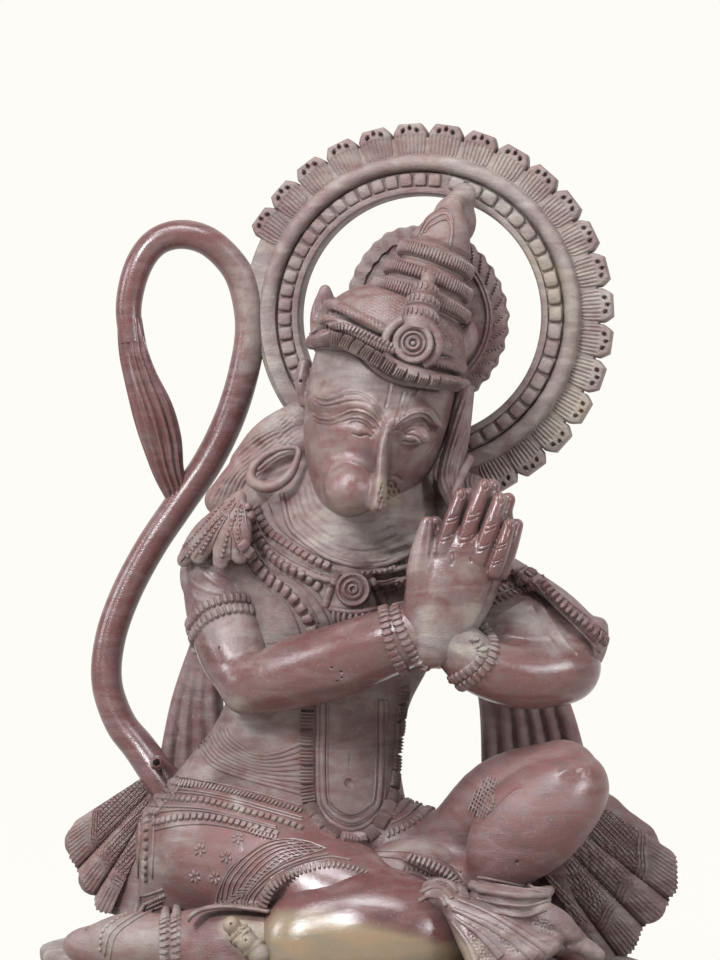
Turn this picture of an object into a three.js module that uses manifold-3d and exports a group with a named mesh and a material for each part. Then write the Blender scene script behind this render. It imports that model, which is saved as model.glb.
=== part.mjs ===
// A carved soapstone figure of a kneeling monkey deity with joined hands, a looped tail and a
// petalled halo, cut in one piece with its low oval plinth.
// Millimetres, +Z up, +X to the viewer's right, the figure faces -Y. The origin is the middle of
// the plinth's underside.

import * as THREE from 'three';
import { SimplifyModifier } from 'three/addons/modifiers/SimplifyModifier.js';
import { mergeVertices } from 'three/addons/utils/BufferGeometryUtils.js';
import Module from 'manifold-3d';

// Driving dimensions of the plinth
const plinthLength = 318;
const plinthDepth = 178;
const plinthHeight = 28;
const plinthTurn = -18; // degrees, the plinth is set askew under the figure
const plinthSquareness = 2.2; // 2 is an ellipse, more is squarer
const rimDrop = 2.2; // how far the plinth's waist is cut back from its rim
const plinthSteps = 32;

// Driving dimensions of the figure, whose pose and carving are shares of its own height
const figureHeight = 412; // from the plinth's top to the top of the halo
const drawnHeight = 412; // the height at which the points below were taken
const drawnSeat = 28; // height of the plinth's top at which they were taken
const pinchDraw = 0.06; // share of the way that touching folds are drawn apart
const figureFacets = 7600; // triangles of the figure without its halo and plinth

// Driving dimensions of the halo
const haloCentre = [35.5, 343.4];
const haloFront = 42;
const haloThickness = 20;
const haloInner = 61;
const haloOuter = 97;
const petalsPerTurn = 32;
const tileStart = 4.4; // from the inner edge outwards
const tileEnd = 11.4;
const tileHeight = 1.6;
const ridgeAt = 15.6;
const petalStart = 20;
const petalNotch = 4.4;
const firstPetalAngle = -70; // degrees from the viewer's right, upwards
const lastPetalAngle = 156;
const lastTileAngle = 204;
const hiddenSteps = 9;
const plainEdge = 83; // outer radius where the halo has no petals

// Driving dimensions of the tail
const tailWidth = 15.4;
const tasselWidth = 22;
const tasselFlutes = 5;

// Repeats in the dress
const neckFolds = 5;
const neckFoldPitch = 8;
const frontPleats = 6;
const leftFlutes = 4;
const rightFlutes = 5;

const wasm = await Module();
wasm.setup();

const share = figureHeight / drawnHeight;
const front = new THREE.Vector3(0, -1, 0);
const up = new THREE.Vector3(0, 0, 1);

// A point of the figure, from its place on the drawing.
function at(x, y, z) {
  return new THREE.Vector3(x * share, y * share, plinthHeight + (z - drawnSeat) * share);
}

function points(list) {
  return list.map(([x, y, z]) => at(x, y, z));
}

// Joins the seams of a geometry and makes a solid of it, with its faces pointing out.
function solid(geometry) {
  geometry.deleteAttribute('normal');
  geometry.deleteAttribute('uv');
  const merged = mergeVertices(geometry, 1e-4);
  const corners = merged.index.array;
  const place = merged.attributes.position;
  const [a, b, c] = [new THREE.Vector3(), new THREE.Vector3(), new THREE.Vector3()];
  const kept = [];
  let volume = 0;
  for (let i = 0; i < corners.length; i += 3) {
    const [i0, i1, i2] = [corners[i], corners[i + 1], corners[i + 2]];
    if (i0 === i1 || i1 === i2 || i2 === i0) continue;
    a.fromBufferAttribute(place, i0);
    b.fromBufferAttribute(place, i1);
    c.fromBufferAttribute(place, i2);
    volume += a.dot(b.cross(c));
    kept.push(i0, i1, i2);
  }
  if (volume < 0) kept.reverse();
  return solidOf(place.array, kept);
}

function solidOf(places, corners) {
  return new wasm.Manifold(new wasm.Mesh({
    numProp: 3,
    vertProperties: new Float32Array(places),
    triVerts: new Uint32Array(corners),
  }));
}

function geometryOf(form) {
  const { vertProperties, triVerts } = form.getMesh();
  const geometry = new THREE.BufferGeometry();
  geometry.setAttribute('position', new THREE.BufferAttribute(vertProperties, 3));
  geometry.setIndex(new THREE.BufferAttribute(triVerts, 1));
  return geometry;
}

// Takes out the facets that matter least to a form, most of them slivers left by joining.
async function thinned(form, facets) {
  const geometry = geometryOf(form);
  const corners = geometry.attributes.position.count;
  const surplus = Math.floor(corners * (1 - (facets * 3) / geometry.index.count));
  const thin = await new SimplifyModifier().modify(geometry, surplus);
  return mainBody(unpinched(solid(thin)));
}

// Where two folds of a surface meet in one corner or edge, draws each a little back to its own
// side, so that they no longer touch.
function unpinched(form) {
  const { vertProperties: place, triVerts } = form.getMesh();
  const seats = new Map();
  for (let i = 0; i < place.length; i += 3) {
    const seat = [place[i], place[i + 1], place[i + 2]].map((v) => v.toFixed(3)).join();
    seats.set(seat, [...(seats.get(seat) ?? []), i / 3]);
  }
  const shared = new Set([...seats.values()].filter((list) => list.length > 1).flat());
  const moved = Float32Array.from(place);
  for (const corner of shared) {
    const mean = new THREE.Vector3();
    let count = 0;
    triVerts.forEach((i, slot) => {
      if (i !== corner) return;
      const start = slot - (slot % 3);
      for (let k = start; k < start + 3; k += 1) {
        if (triVerts[k] === corner) continue;
        mean.add(new THREE.Vector3().fromArray(place, triVerts[k] * 3));
        count += 1;
      }
    });
    const spot = new THREE.Vector3().fromArray(place, corner * 3);
    spot.lerp(mean.divideScalar(count), pinchDraw).toArray(moved, corner * 3);
  }
  return solidOf(moved, triVerts);
}

// Keeps a form's main body and drops the crumbs that thinning may cut loose.
function mainBody(form) {
  const { vertProperties, triVerts } = form.getMesh();
  const owner = Array.from({ length: vertProperties.length / 3 }, (_, i) => i);
  const ownerOf = (i) => {
    let found = i;
    while (owner[found] !== found) found = owner[found];
    owner[i] = found;
    return found;
  };
  for (let i = 0; i < triVerts.length; i += 3) {
    owner[ownerOf(triVerts[i])] = ownerOf(triVerts[i + 1]);
    owner[ownerOf(triVerts[i + 1])] = ownerOf(triVerts[i + 2]);
  }
  const sizes = new Map();
  triVerts.forEach((i) => sizes.set(ownerOf(i), (sizes.get(ownerOf(i)) ?? 0) + 1));
  const [main] = [...sizes].sort((a, b) => b[1] - a[1])[0];
  const kept = [];
  for (let i = 0; i < triVerts.length; i += 3) {
    if (ownerOf(triVerts[i]) === main) kept.push(...triVerts.slice(i, i + 3));
  }
  return solidOf(vertProperties, kept);
}

// Sideways and facing directions of a section, square to the path.
function sectionFrame(tangent, face) {
  const facing = face.clone().addScaledVector(tangent, -face.dot(tangent)).normalize();
  const sideways = new THREE.Vector3().crossVectors(tangent, facing);
  return [sideways, facing];
}

// Half widths [sideways, facing] along a path, smooth between the ones given at its points.
function sizeCurve(widths, closed) {
  const pairs = widths.map((w) => (Array.isArray(w) ? w : [w, w]));
  while (pairs.length < 3) pairs.push(pairs[pairs.length - 1]);
  return new THREE.CatmullRomCurve3(pairs.map(([w, d]) => new THREE.Vector3(w, d, 0)), closed);
}

// A limb, fold or cord: a tube along a smooth path, whose section swells and shrinks.
function limb(path, widths, { sides = 6, steps = 5, face = front, ripple = null } = {}) {
  const curve = new THREE.CatmullRomCurve3(points(path));
  const sizes = sizeCurve(widths, false);
  const tube = new THREE.CylinderGeometry(1, 1, 1, sides, steps);
  const place = tube.attributes.position;
  const v = new THREE.Vector3();
  for (let i = 0; i < place.count; i += 1) {
    v.fromBufferAttribute(place, i);
    const along = Math.min(1, Math.max(0, v.y + 0.5));
    const [sideways, facing] = sectionFrame(curve.getTangent(along), face);
    const size = sizes.getPoint(along);
    const swell = (ripple ? ripple(along, Math.atan2(v.z, v.x)) : 1) * share;
    const spot = curve.getPoint(along);
    spot.addScaledVector(sideways, v.x * size.x * swell);
    spot.addScaledVector(facing, v.z * size.y * swell);
    place.setXYZ(i, spot.x, spot.y, spot.z);
  }
  return solid(tube);
}

// A band that closes on itself.
function loop(path, widths, { sides = 4, steps = 18, face = up, ripple = null } = {}) {
  const curve = new THREE.CatmullRomCurve3(points(path), true);
  const sizes = sizeCurve(widths, true);
  const ring = new THREE.TorusGeometry(1, 0.5, sides, steps);
  const place = ring.attributes.position;
  const uv = ring.attributes.uv;
  for (let i = 0; i < place.count; i += 1) {
    const along = uv.getX(i) % 1;
    const angle = (uv.getY(i) % 1) * 2 * Math.PI;
    const [sideways, facing] = sectionFrame(curve.getTangent(along), face);
    const size = sizes.getPoint(along);
    const swell = (ripple ? ripple(along, angle) : 1) * share;
    const spot = curve.getPoint(along);
    spot.addScaledVector(sideways, Math.cos(angle) * size.x * swell);
    spot.addScaledVector(facing, Math.sin(angle) * size.y * swell);
    place.setXYZ(i, spot.x, spot.y, spot.z);
  }
  return solid(ring);
}

// A rounded mass, turned by degrees about X, Y and Z.
function ball(centre, radii, { turn = [0, 0, 0], across = 8, down = 5 } = {}) {
  const sphere = new THREE.SphereGeometry(1, across, down);
  sphere.rotateX(Math.PI / 2);
  sphere.scale(radii[0] * share, radii[1] * share, radii[2] * share);
  const [rx, ry, rz] = turn.map(THREE.MathUtils.degToRad);
  sphere.applyMatrix4(new THREE.Matrix4().makeRotationFromEuler(new THREE.Euler(rx, ry, rz)));
  const middle = at(...centre);
  sphere.translate(middle.x, middle.y, middle.z);
  return solid(sphere);
}

// A turned form: [radius, height] pairs spun about an axis that starts at a point.
function turned(profile, start, axis, segments = 10, squash = 1) {
  const rings = profile.map(([r, h]) => new THREE.Vector2(r * share, h * share));
  const form = new THREE.LatheGeometry(rings, segments);
  form.scale(1, 1, squash);
  const direction = new THREE.Vector3(...axis).normalize();
  const q = new THREE.Quaternion().setFromUnitVectors(new THREE.Vector3(0, 1, 0), direction);
  form.applyQuaternion(q);
  const foot = at(...start);
  form.translate(foot.x, foot.y, foot.z);
  return solid(form);
}

// A flat piece: an outline of [x, z] pairs, from one depth to another.
function plate(outline, nearDepth, farDepth) {
  const shape = new THREE.Shape(outline.map(([x, z]) => {
    const corner = at(x, 0, z);
    return new THREE.Vector2(corner.x, corner.z);
  }));
  const depth = (farDepth - nearDepth) * share;
  const slab = new THREE.ExtrudeGeometry(shape, { depth, bevelEnabled: false });
  slab.rotateX(Math.PI / 2);
  slab.translate(0, farDepth * share, 0);
  return solid(slab);
}

function join(parts) {
  return parts.reduce((whole, part) => whole.add(part));
}

function mix(a, b, t) {
  return a.map((value, i) => value + (b[i] - value) * t);
}

// A row of beads or ribs as waves in a band's width.
function beads(count, depth) {
  return (along) => 1 - depth * (0.5 + 0.5 * Math.cos(2 * Math.PI * count * along));
}

function plinth() {
  const half = plinthLength / 2;
  const profile = [
    [0, 0], [1, 0], [1, 0.25], [1 - rimDrop / half, 0.4], [1 - rimDrop / half, 0.7], [1, 0.82],
    [1 - rimDrop / half, 1], [0, 1],
  ];
  const rings = profile.map(([r, h]) => new THREE.Vector2(r, h * plinthHeight));
  const slab = new THREE.LatheGeometry(rings, plinthSteps);
  slab.rotateX(Math.PI / 2);
  const place = slab.attributes.position;
  for (let i = 0; i < place.count; i += 1) {
    const [x, y] = [place.getX(i), place.getY(i)];
    const r = Math.hypot(x, y);
    if (r < 1e-6) continue;
    const [c, s] = [x / r, y / r];
    const p = plinthSquareness;
    const reach = (Math.abs(c / half) ** p + Math.abs(s / (plinthDepth / 2)) ** p) ** (-1 / p);
    place.setXY(i, c * reach * r, s * reach * r);
  }
  slab.rotateZ(THREE.MathUtils.degToRad(plinthTurn));
  return solid(slab);
}

// Angles round the halo in degrees: three steps to a petal and two to a tile where it shows, and
// coarser ones behind the shoulders.
function haloAngles() {
  const fine = 360 / petalsPerTurn / 3;
  const angles = [];
  for (let a = firstPetalAngle; a < lastTileAngle; a += fine) angles.push(a);
  const rest = firstPetalAngle + 360 - lastTileAngle;
  for (let i = 0; i < hiddenSteps; i += 1) angles.push(lastTileAngle + (rest * i) / hiddenSteps);
  return angles;
}

function halo() {
  const back = haloFront + haloThickness;
  const sections = [
    [haloInner, back], [haloInner, haloFront], [haloInner + tileStart, haloFront + 1.5],
    [haloInner + tileEnd, haloFront + 1.5], [haloInner + ridgeAt, haloFront - 2],
    [haloInner + petalStart, haloFront + 3], [haloOuter, haloFront + 5], [haloOuter, back - 2],
  ];
  const outline = sections.map(([r, y]) => new THREE.Vector2(r, y));
  outline.push(outline[0].clone());
  const angles = haloAngles();
  const ring = new THREE.LatheGeometry(outline, angles.length);
  const place = ring.attributes.position;
  const middle = at(haloCentre[0], 0, haloCentre[1]);
  for (let i = 0; i < place.count; i += 1) {
    const size = Math.hypot(place.getX(i), place.getZ(i));
    const depth = place.getY(i);
    const turn = Math.atan2(place.getX(i), place.getZ(i)) / (2 * Math.PI);
    const step = (Math.round(turn * angles.length) + angles.length) % angles.length;
    const degrees = angles[step];
    const onRim = size > haloInner + petalStart + 1;
    const petalled = degrees < lastPetalAngle;
    const notched = onRim && petalled && step % 3 === 0;
    const onTiles = size > haloInner + 1 && size < haloInner + tileEnd + 1;
    const raised = onTiles && degrees < lastTileAngle && step % 2 === 0 ? tileHeight : 0;
    const radius = onRim && !petalled ? plainEdge : size - (notched ? petalNotch : 0);
    const angle = THREE.MathUtils.degToRad(degrees);
    place.setXYZ(i, middle.x + radius * share * Math.cos(angle), (depth - raised) * share,
      middle.z + radius * share * Math.sin(angle));
  }
  return solid(ring);
}

// The disc behind the crown, with a gadrooned rim, and its bridges to the halo.
function crownDisc() {
  const middle = [41, 343];
  const rim = 28;
  const outline = [];
  for (let i = 0; i < rim; i += 1) {
    const angle = (i / rim) * 2 * Math.PI;
    const reach = i % 2 ? 1 : 0.955;
    const wide = 40.5 * reach;
    const tall = 46.5 * reach;
    outline.push([middle[0] + wide * Math.cos(angle), middle[1] + tall * Math.sin(angle)]);
  }
  return [
    plate(outline, 21, 34),
    ball([58, 34, 389], [12, 16, 13]),
    ball([28, 40, 296], [33, 14, 26]),
  ];
}

const tailPath = [
  [-92, 22, 112], [-103.7, 27, 126.6], [-114.3, 30, 139.4], [-121.5, 33, 158.8],
  [-120.5, 36, 180.3], [-113.2, 39, 203], [-100.8, 42, 227.2], [-85.8, 45, 249.9],
  [-71.8, 48, 271.1], [-60.6, 50, 295.3], [-53.4, 50, 320.4], [-51.2, 50, 340.5],
  [-54.8, 49, 360.1], [-61.6, 47, 372.2], [-72.7, 44, 381.9], [-86.1, 42, 384.9],
  [-98.5, 40, 380.3], [-106.9, 38, 367.7], [-111.1, 37, 349], [-109.4, 36, 328.8],
];
const tasselPath = [
  [-110.4, 36, 334], [-104.6, 36, 312], [-98.8, 37, 296], [-94.6, 39, 281],
  [-91.6, 41, 266], [-86.5, 44, 251],
];

function tail() {
  const thick = tailWidth / 2;
  const flutes = (along, angle) => 0.87 + 0.13 * Math.cos(tasselFlutes * angle);
  return [
    limb(tailPath, [thick + 3, thick, thick], { sides: 6, steps: 32 }),
    limb(tasselPath, [6.5, 8, tasselWidth / 2, tasselWidth / 2, 7.6, 5],
      { sides: tasselFlutes * 2, steps: 5, ripple: flutes }),
    ball([-95, 22, 119.6], [6.5, 9, 6.5]),
  ];
}

// Skull, face and features. The face leans a little to the viewer's right.
function head() {
  return [
    ball([20.5, -6, 290], [37, 43, 50], { turn: [0, 8, 0], across: 14, down: 9 }),
    ball([18, -46, 255], [17, 17, 14], { across: 10, down: 6 }),
    ball([15.9, -60, 257], [11.8, 11, 11.8], { across: 10, down: 6 }),
    limb([[31, -42, 293], [30, -52, 276], [28, -60, 262]], [[3, 4], [4, 6], [6, 6]],
      { sides: 5, steps: 3 }),
    limb([[-12, -30, 300], [7.4, -42, 304], [25, -47, 296]], [[3, 4], [3.4, 5], [3, 4]],
      { sides: 4, steps: 4, face: up }),
    limb([[35, -44, 290], [46.9, -38, 295], [57, -24, 280]], [[3, 4], [3.4, 6], [3, 5]],
      { sides: 4, steps: 4, face: up }),
    ball([14, -43, 284], [11, 6, 6.5], { turn: [0, 8, 0] }),
    ball([42, -42, 280], [10, 6, 6.5], { turn: [0, 8, 0] }),
  ];
}

// Crown: two ribbed headbands, the dome, three turban rolls with a cone, the medallion with its
// tiered spike, and the ears that show beside it.
function crown() {
  const lean = [0.33, 0.13, 0.93];
  const band = (rise, grow) => loop([
    [-12 - grow, -8, 326 + rise], [0, -39 - grow, 326 + rise], [25, -51 - grow, 314 + rise],
    [50, -44 - grow, 306 + rise], [64 + grow, -12, 303 + rise], [56, 24 + grow, 306 + rise],
    [22, 37 + grow, 316 + rise], [-4, 23 + grow, 325 + rise],
  ], [[4, 4.4]], { steps: 18 });
  const rolls = [
    [0, -8], [27, -8], [22, 4], [25, 6.5], [25, 11.5], [20.5, 14.2], [22.3, 17], [22.3, 22],
    [17.5, 25], [19.3, 28], [19, 33], [13, 36], [13, 40], [6, 52], [0, 60.5],
  ];
  const spike = [[0, -4], [9, -4], [9, 6], [6.5, 9], [8, 12], [5, 16], [6, 19], [0, 31]];
  return [
    band(0, 0),
    band(9.5, -2.5),
    ball([25, -4, 321], [40, 42, 36], { turn: [0, 15, 0], across: 14, down: 8 }),
    turned(rolls, [38, -4, 340], lean, 12),
    turned([[0, -6], [9.2, -6], [9.2, 3.4], [5.4, 3.4], [4.4, 5], [0, 5]],
      [42.5, -46, 326.5], [0.05, -1, 0.12]),
    turned(spike, [44, -34, 331], [0.12, 0.42, 0.9], 6),
    limb([[-12, 2, 333], [-9, 2, 345], [-6.5, 0, 356]], [[9, 5], [7, 4.5], [1.2, 1.2]],
      { sides: 5, steps: 3 }),
    limb([[60, 2, 318], [66, 4, 329], [68, 6, 338]], [[7, 5], [7, 4.5], [1.5, 1.5]],
      { sides: 5, steps: 3 }),
  ];
}

// Locks of hair, temple strips and earrings on both sides of the face.
function hair() {
  const lock = (path, width) => limb(path, [width, width * 1.1, width * 0.7], { steps: 3 });
  return [
    limb([[-17, -5, 316], [-18, -7, 296], [-17.5, -9, 272]], [[3.4, 5], [4, 6], [3.4, 5]],
      { sides: 5, steps: 3 }),
    lock([[-16, 4, 290], [-36, 8, 280], [-50, 10, 268]], 9),
    lock([[-20, 4, 276], [-44, 6, 264], [-62, 10, 250]], 10),
    lock([[-16, 2, 262], [-38, 2, 250], [-56, 4, 240]], 10),
    limb([[-44, -2, 257], [-36, -10, 251], [-24, -12, 253], [-15, -10, 266]],
      [[3, 4], [3.8, 4], [3.6, 4], [3, 4]], { sides: 5, steps: 6 }),
    limb([[62.7, -4, 304], [57, -8, 280], [46, -12, 252]], [[6, 7], [8, 9], [7, 7]],
      { steps: 4 }),
    ball([60, 16, 243], [20, 22, 22]),
    ball([6, 28, 250], [52, 26, 36], { across: 12, down: 6 }),
  ];
}

// Neck with its folds, trunk and hips.
function trunk() {
  const folds = [[0, -6], [40, -6]];
  for (let i = 0; i < neckFolds; i += 1) {
    const h = i * neckFoldPitch;
    const r = 38 - i * 3;
    folds.push([r, h], [r - 2.6, h + neckFoldPitch / 2]);
  }
  folds.push([26, neckFolds * neckFoldPitch + 4], [0, neckFolds * neckFoldPitch + 4]);
  return [
    turned(folds, [7, -3, 216], [0.2, -0.06, 1], 12, 0.95),
    limb([[-14, 10, 88], [-14, 9, 112], [-14, 8, 134], [-8, 8, 168], [-2, 8, 198], [3, 8, 220],
      [6, 8, 236]],
    [[48, 38], [44, 35], [43, 33], [46, 34], [54, 35], [56, 30], [34, 20]],
    { sides: 12, steps: 6 }),
    ball([-28, 10, 84], [70, 46, 32], { across: 14, down: 6 }),
    ball([-24, 18, 52], [78, 54, 40], { across: 12, down: 6 }),
    ball([-57, 0, 214], [21.5, 22, 22], { across: 10, down: 6 }),
    ball([66, 2, 208], [21, 22, 21]),
  ];
}

// Shoulder capes: leaf-shaped lappets on one side, a flared sleeve on the other.
function capes() {
  const lappet = (tip, root, width) => limb([root, mix(root, tip, 0.55), tip],
    [[width * 0.6, 4], [width, 4.5], [1.5, 3]], { sides: 5, steps: 3 });
  return [
    lappet([-79, -6, 216], [-52, -14, 240], 10),
    lappet([-70, -22, 212], [-44, -20, 236], 9),
    lappet([-53, -30, 214], [-32, -26, 232], 9),
    limb([[66, 4, 204], [90, -4, 201], [112, -10, 191]], [[15, 16], [17, 20], [12, 20]],
      { steps: 3 }),
    limb([[92, -12, 219], [113, -16, 203], [133, -20, 184]], [[4, 16], [4.6, 18], [4.4, 17]],
      { steps: 3 }),
    limb([[129, -14, 190], [130, -14, 182], [129.5, -14, 174]], [[6, 16], [5, 16], [3, 13]],
      { steps: 2 }),
  ];
}

const armPath = [
  [-57, -2, 214], [-55, -8, 192], [-50, -22, 170], [-38, -34, 160], [-12, -46, 166],
  [13, -56, 176], [36, -62, 184], [44, -63, 188],
];
const otherArmPath = [
  [72, 0, 206], [96, -8, 188], [112, -24, 174], [112, -36, 170], [94, -48, 168],
  [74, -57, 174], [62, -62, 186],
];

// A bangle, armlet or anklet: a ring round a limb.
function ringRound(centre, direction, radius, width) {
  const d = new THREE.Vector3(...direction).normalize();
  const side = new THREE.Vector3().crossVectors(d, front).normalize();
  const rest = new THREE.Vector3().crossVectors(d, side).normalize();
  const path = [];
  for (let i = 0; i < 8; i += 1) {
    const angle = (i / 8) * 2 * Math.PI;
    const spot = new THREE.Vector3(...centre)
      .addScaledVector(side, Math.cos(angle) * radius)
      .addScaledVector(rest, Math.sin(angle) * radius);
    path.push(spot.toArray());
  }
  return loop(path, [[2.6, width / 2]], { sides: 4, steps: 12, face: d });
}

function arms() {
  return [
    limb(armPath, [20, 19, 18.5, 18, 17, 15, 13.5, 12], { sides: 8, steps: 12 }),
    limb(otherArmPath, [18, 17, 17, 17, 16, 14, 12], { sides: 8, steps: 9 }),
    ringRound([-56, -8, 193], [0.12, -0.25, -1], 19.4, 11),
    ringRound([36, -62, 184], [1, -0.2, 0.38], 14.2, 14),
    ringRound([73, -57.5, 176], [-1, -0.5, 0.9], 14, 12),
  ];
}

// The joined hands: the near hand with four fingers and a thumb, and the far hand behind it.
function hands() {
  const knuckles = [[57.1, 229.8], [67.6, 228], [76, 225], [81.8, 219]];
  const tips = [[68.4, 257.2], [80, 262], [86.6, 254.6], [91, 241.5]];
  const hand = (depth, shiftX, shiftZ) => {
    const fingers = tips.map(([x, z], i) => limb([
      [knuckles[i][0] + shiftX, depth, knuckles[i][1] - 10 + shiftZ],
      [(knuckles[i][0] + x) / 2 + shiftX, depth - 1.5, (knuckles[i][1] + z) / 2 + shiftZ],
      [x + shiftX, depth, z + shiftZ],
    ], [[5.2, 5], [5, 4.8], [2.6, 2.6]], { sides: 5, steps: 3 }));
    const palm = limb([
      [48 + shiftX, depth + 1, 184 + shiftZ], [56 + shiftX, depth, 200 + shiftZ],
      [63 + shiftX, depth, 214 + shiftZ], [70 + shiftX, depth, 229 + shiftZ],
    ], [[13, 9], [18, 9.5], [20, 9], [17, 6]], { sides: 8, steps: 4 });
    return [palm, ...fingers];
  };
  return [
    ...hand(-68, 0, 0),
    ...hand(-58, 4, -2),
    limb([[48, -72, 206], [48, -74, 224], [53.4, -74, 244]], [[7, 6], [5.6, 5.4], [2.6, 2.6]],
      { sides: 5, steps: 3 }),
  ];
}

// Necklaces, pendant and the long garland that hangs in a loop down to the belt.
function necklaces() {
  return [
    limb([[-24, 2, 256], [-11, -30, 232], [11, -43, 219], [33, -43, 218], [46, -32, 226]],
      [[3.4, 3.4], [3.6, 3.6], [3.8, 3.8], [3.6, 3.6], [3.2, 3.2]], { sides: 5, steps: 8 }),
    limb([[-52, 0, 246], [-36, -24, 222], [-14, -36, 203], [4, -40, 194]],
      [[5, 4.5]], { sides: 4, steps: 12, ripple: beads(6, 0.22) }),
    limb([[54, -14, 232], [46, -28, 218], [32, -38, 208], [20, -42, 204]],
      [[5, 4]], { sides: 4, steps: 8, ripple: beads(4, 0.22) }),
    turned([[0, -6], [8.6, -6], [8.6, 3], [5, 3], [3.6, 5], [0, 5]],
      [13.9, -42, 208.3], [0, -1, 0.1]),
    ball([14, -41, 194], [8, 5, 8]),
    limb([[-10, -34, 176], [-9.3, -33, 154.7], [-11, -32, 125.7], [-8, -36, 99], [8.8, -40, 84],
      [24, -40, 87.5], [29.5, -33, 110], [30, -30, 134], [29, -30, 168]],
    [[4.4, 4.6]], { sides: 4, steps: 24, ripple: beads(12, 0.2) }),
    ball([10, -25, 128], [17, 8, 44], { across: 8, down: 6 }),
    ...[0, 1].map((i) => limb([
      [-60 + i * 9, -10, 134 - i * 4], [-40 + i * 6, -24, 117 - i * 3], [-14, -27, 138 - i * 5],
    ], [[2, 2.4]], { sides: 4, steps: 6 })),
  ];
}

// Three ornamented belt rows round the hips.
function belts() {
  const row = (height, grow, width) => loop([
    [-95 - grow, 10, height + 5], [-80, -18 - grow, height + 4], [-48, -34 - grow, height],
    [-10, -40 - grow, height - 5], [26, -34 - grow, height - 2], [44, -14 - grow, height + 4],
    [42, 26, height + 5], [10, 48 + grow, height + 5], [-34, 54 + grow, height + 5],
    [-76, 42 + grow, height + 5],
  ], [[width, 3.6]], { sides: 4, steps: 20 });
  return [row(104, -2, 4.2), row(96, 0, 4.6), row(86, 1, 5)];
}

// The leg whose knee comes forward at the middle, its shin running back to the foot at the left.
function frontLeg() {
  return [
    limb([[-56, -4, 78], [-30, -22, 70], [2, -38, 56], [26, -44, 48]], [34, 34, 33, 30],
      { sides: 8, steps: 4 }),
    ball([24, -50, 41], [50, 36, 36], { across: 16, down: 8 }),
    limb([[0, -50, 38], [-30, -58, 36], [-52, -56, 37], [-76, -48, 38], [-96, -44, 37],
      [-116, -38, 34]], [[20, 18], [21, 20], [20, 19], [14, 16], [15, 17], [10, 12]],
    { sides: 8, steps: 8 }),
    ringRound([-76, -48, 38], [-1, 0.3, 0], 16.4, 10),
    ball([-124, -36, 34], [11, 9, 7.5]),
    limb([[-66, -20, 68], [-92, -26, 60], [-112, -30, 46], [-118, -32, 34]],
      [[12, 12], [10, 10], [8, 9], [5, 8]], { steps: 5 }),
    ball([-44, -70, 47], [6, 5, 6]),
    ball([-35, -75, 40], [6, 5, 6]),
  ];
}

// The leg with the raised knee, its foot beside the pleats.
function raisedLeg() {
  return [
    limb([[30, 0, 80], [56, -15, 83], [84, -33, 108], [113, -42, 118]], [[24, 26], [18, 23],
      [20, 22], [19, 20]], { sides: 8, steps: 5 }),
    limb([[124, -44, 121], [120, -46, 115], [104, -50, 99], [90, -52, 84], [84, -52, 68],
      [86, -52, 54]],
    [[10, 10], [20, 19], [24, 22], [19, 19], [15, 16], [14, 15]], { sides: 10, steps: 8 }),
    ringRound([86, -52, 63], [0.06, 0, -1], 17, 11),
    limb([[88, -50, 52], [104, -60, 50], [118, -64, 42], [126, -62, 34]],
      [[13, 13], [12, 12], [9, 10], [6, 8]]),
    limb([[70, -30, 108], [84, -44, 96], [80, -54, 80]], [[4, 5]], { sides: 5 }),
  ];
}

// Hems over the lap and the fan of pleats that falls between the legs.
function lapCloth() {
  const knot = [56, -58, 66];
  const pleats = [];
  for (let i = 0; i < frontPleats; i += 1) {
    const t = i / (frontPleats - 1);
    const foot = [66 + t * 55, -66 - 4 * Math.sin(t * Math.PI), 27 + t * t * 9];
    const bend = mix(knot, foot, 0.55);
    bend[1] -= 5;
    bend[2] += 3;
    pleats.push(limb([knot, bend, foot], [[3, 6], [5, 7], [6.8, 7]], { sides: 5, steps: 3 }));
  }
  return [
    ...pleats,
    ball([52, -54, 66], [12, 12, 9]),
    limb([[-37, -70, 48], [-31, -66, 59], [-21, -60, 68.5], [-9, -54, 74.5], [6, -50, 76.5],
      [22, -50, 73]],
    [[5, 7], [5.6, 7], [6, 7], [6, 7], [5.6, 7], [5, 6]], { sides: 6, steps: 7 }),
    limb([[-38, -36, 92], [-14, -46, 84], [16, -48, 80], [48, -48, 70]],
      [[5, 6], [6, 6], [6, 6], [5, 6]], { sides: 5, steps: 6 }),
    ball([44, -34, 72], [26, 22, 14]),
  ];
}

// The shawl that falls behind the figure: flutes at each side, then fans of folds.
function shawl() {
  const flutes = [];
  for (let i = 0; i < leftFlutes; i += 1) {
    const t = i / (leftFlutes - 1);
    flutes.push(limb([[-72 + t * 8, 28, 186], mix([-84, 32, 150], [-66, 28, 150], t),
      mix([-91, 32, 112], [-62, 30, 112], t)], [[5, 9], [6, 10], [7, 10]], { sides: 5, steps: 2 }));
  }
  for (let i = 0; i < rightFlutes; i += 1) {
    const t = i / (rightFlutes - 1);
    flutes.push(limb([mix([66, 22, 176], [92, 22, 182], t), mix([72, 26, 148], [108, 24, 150], t),
      mix([74, 26, 104], [118, 24, 112], t)], [[5, 10], [6.4, 11], [7, 11]],
    { sides: 5, steps: 2 }));
  }
  return flutes;
}

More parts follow.
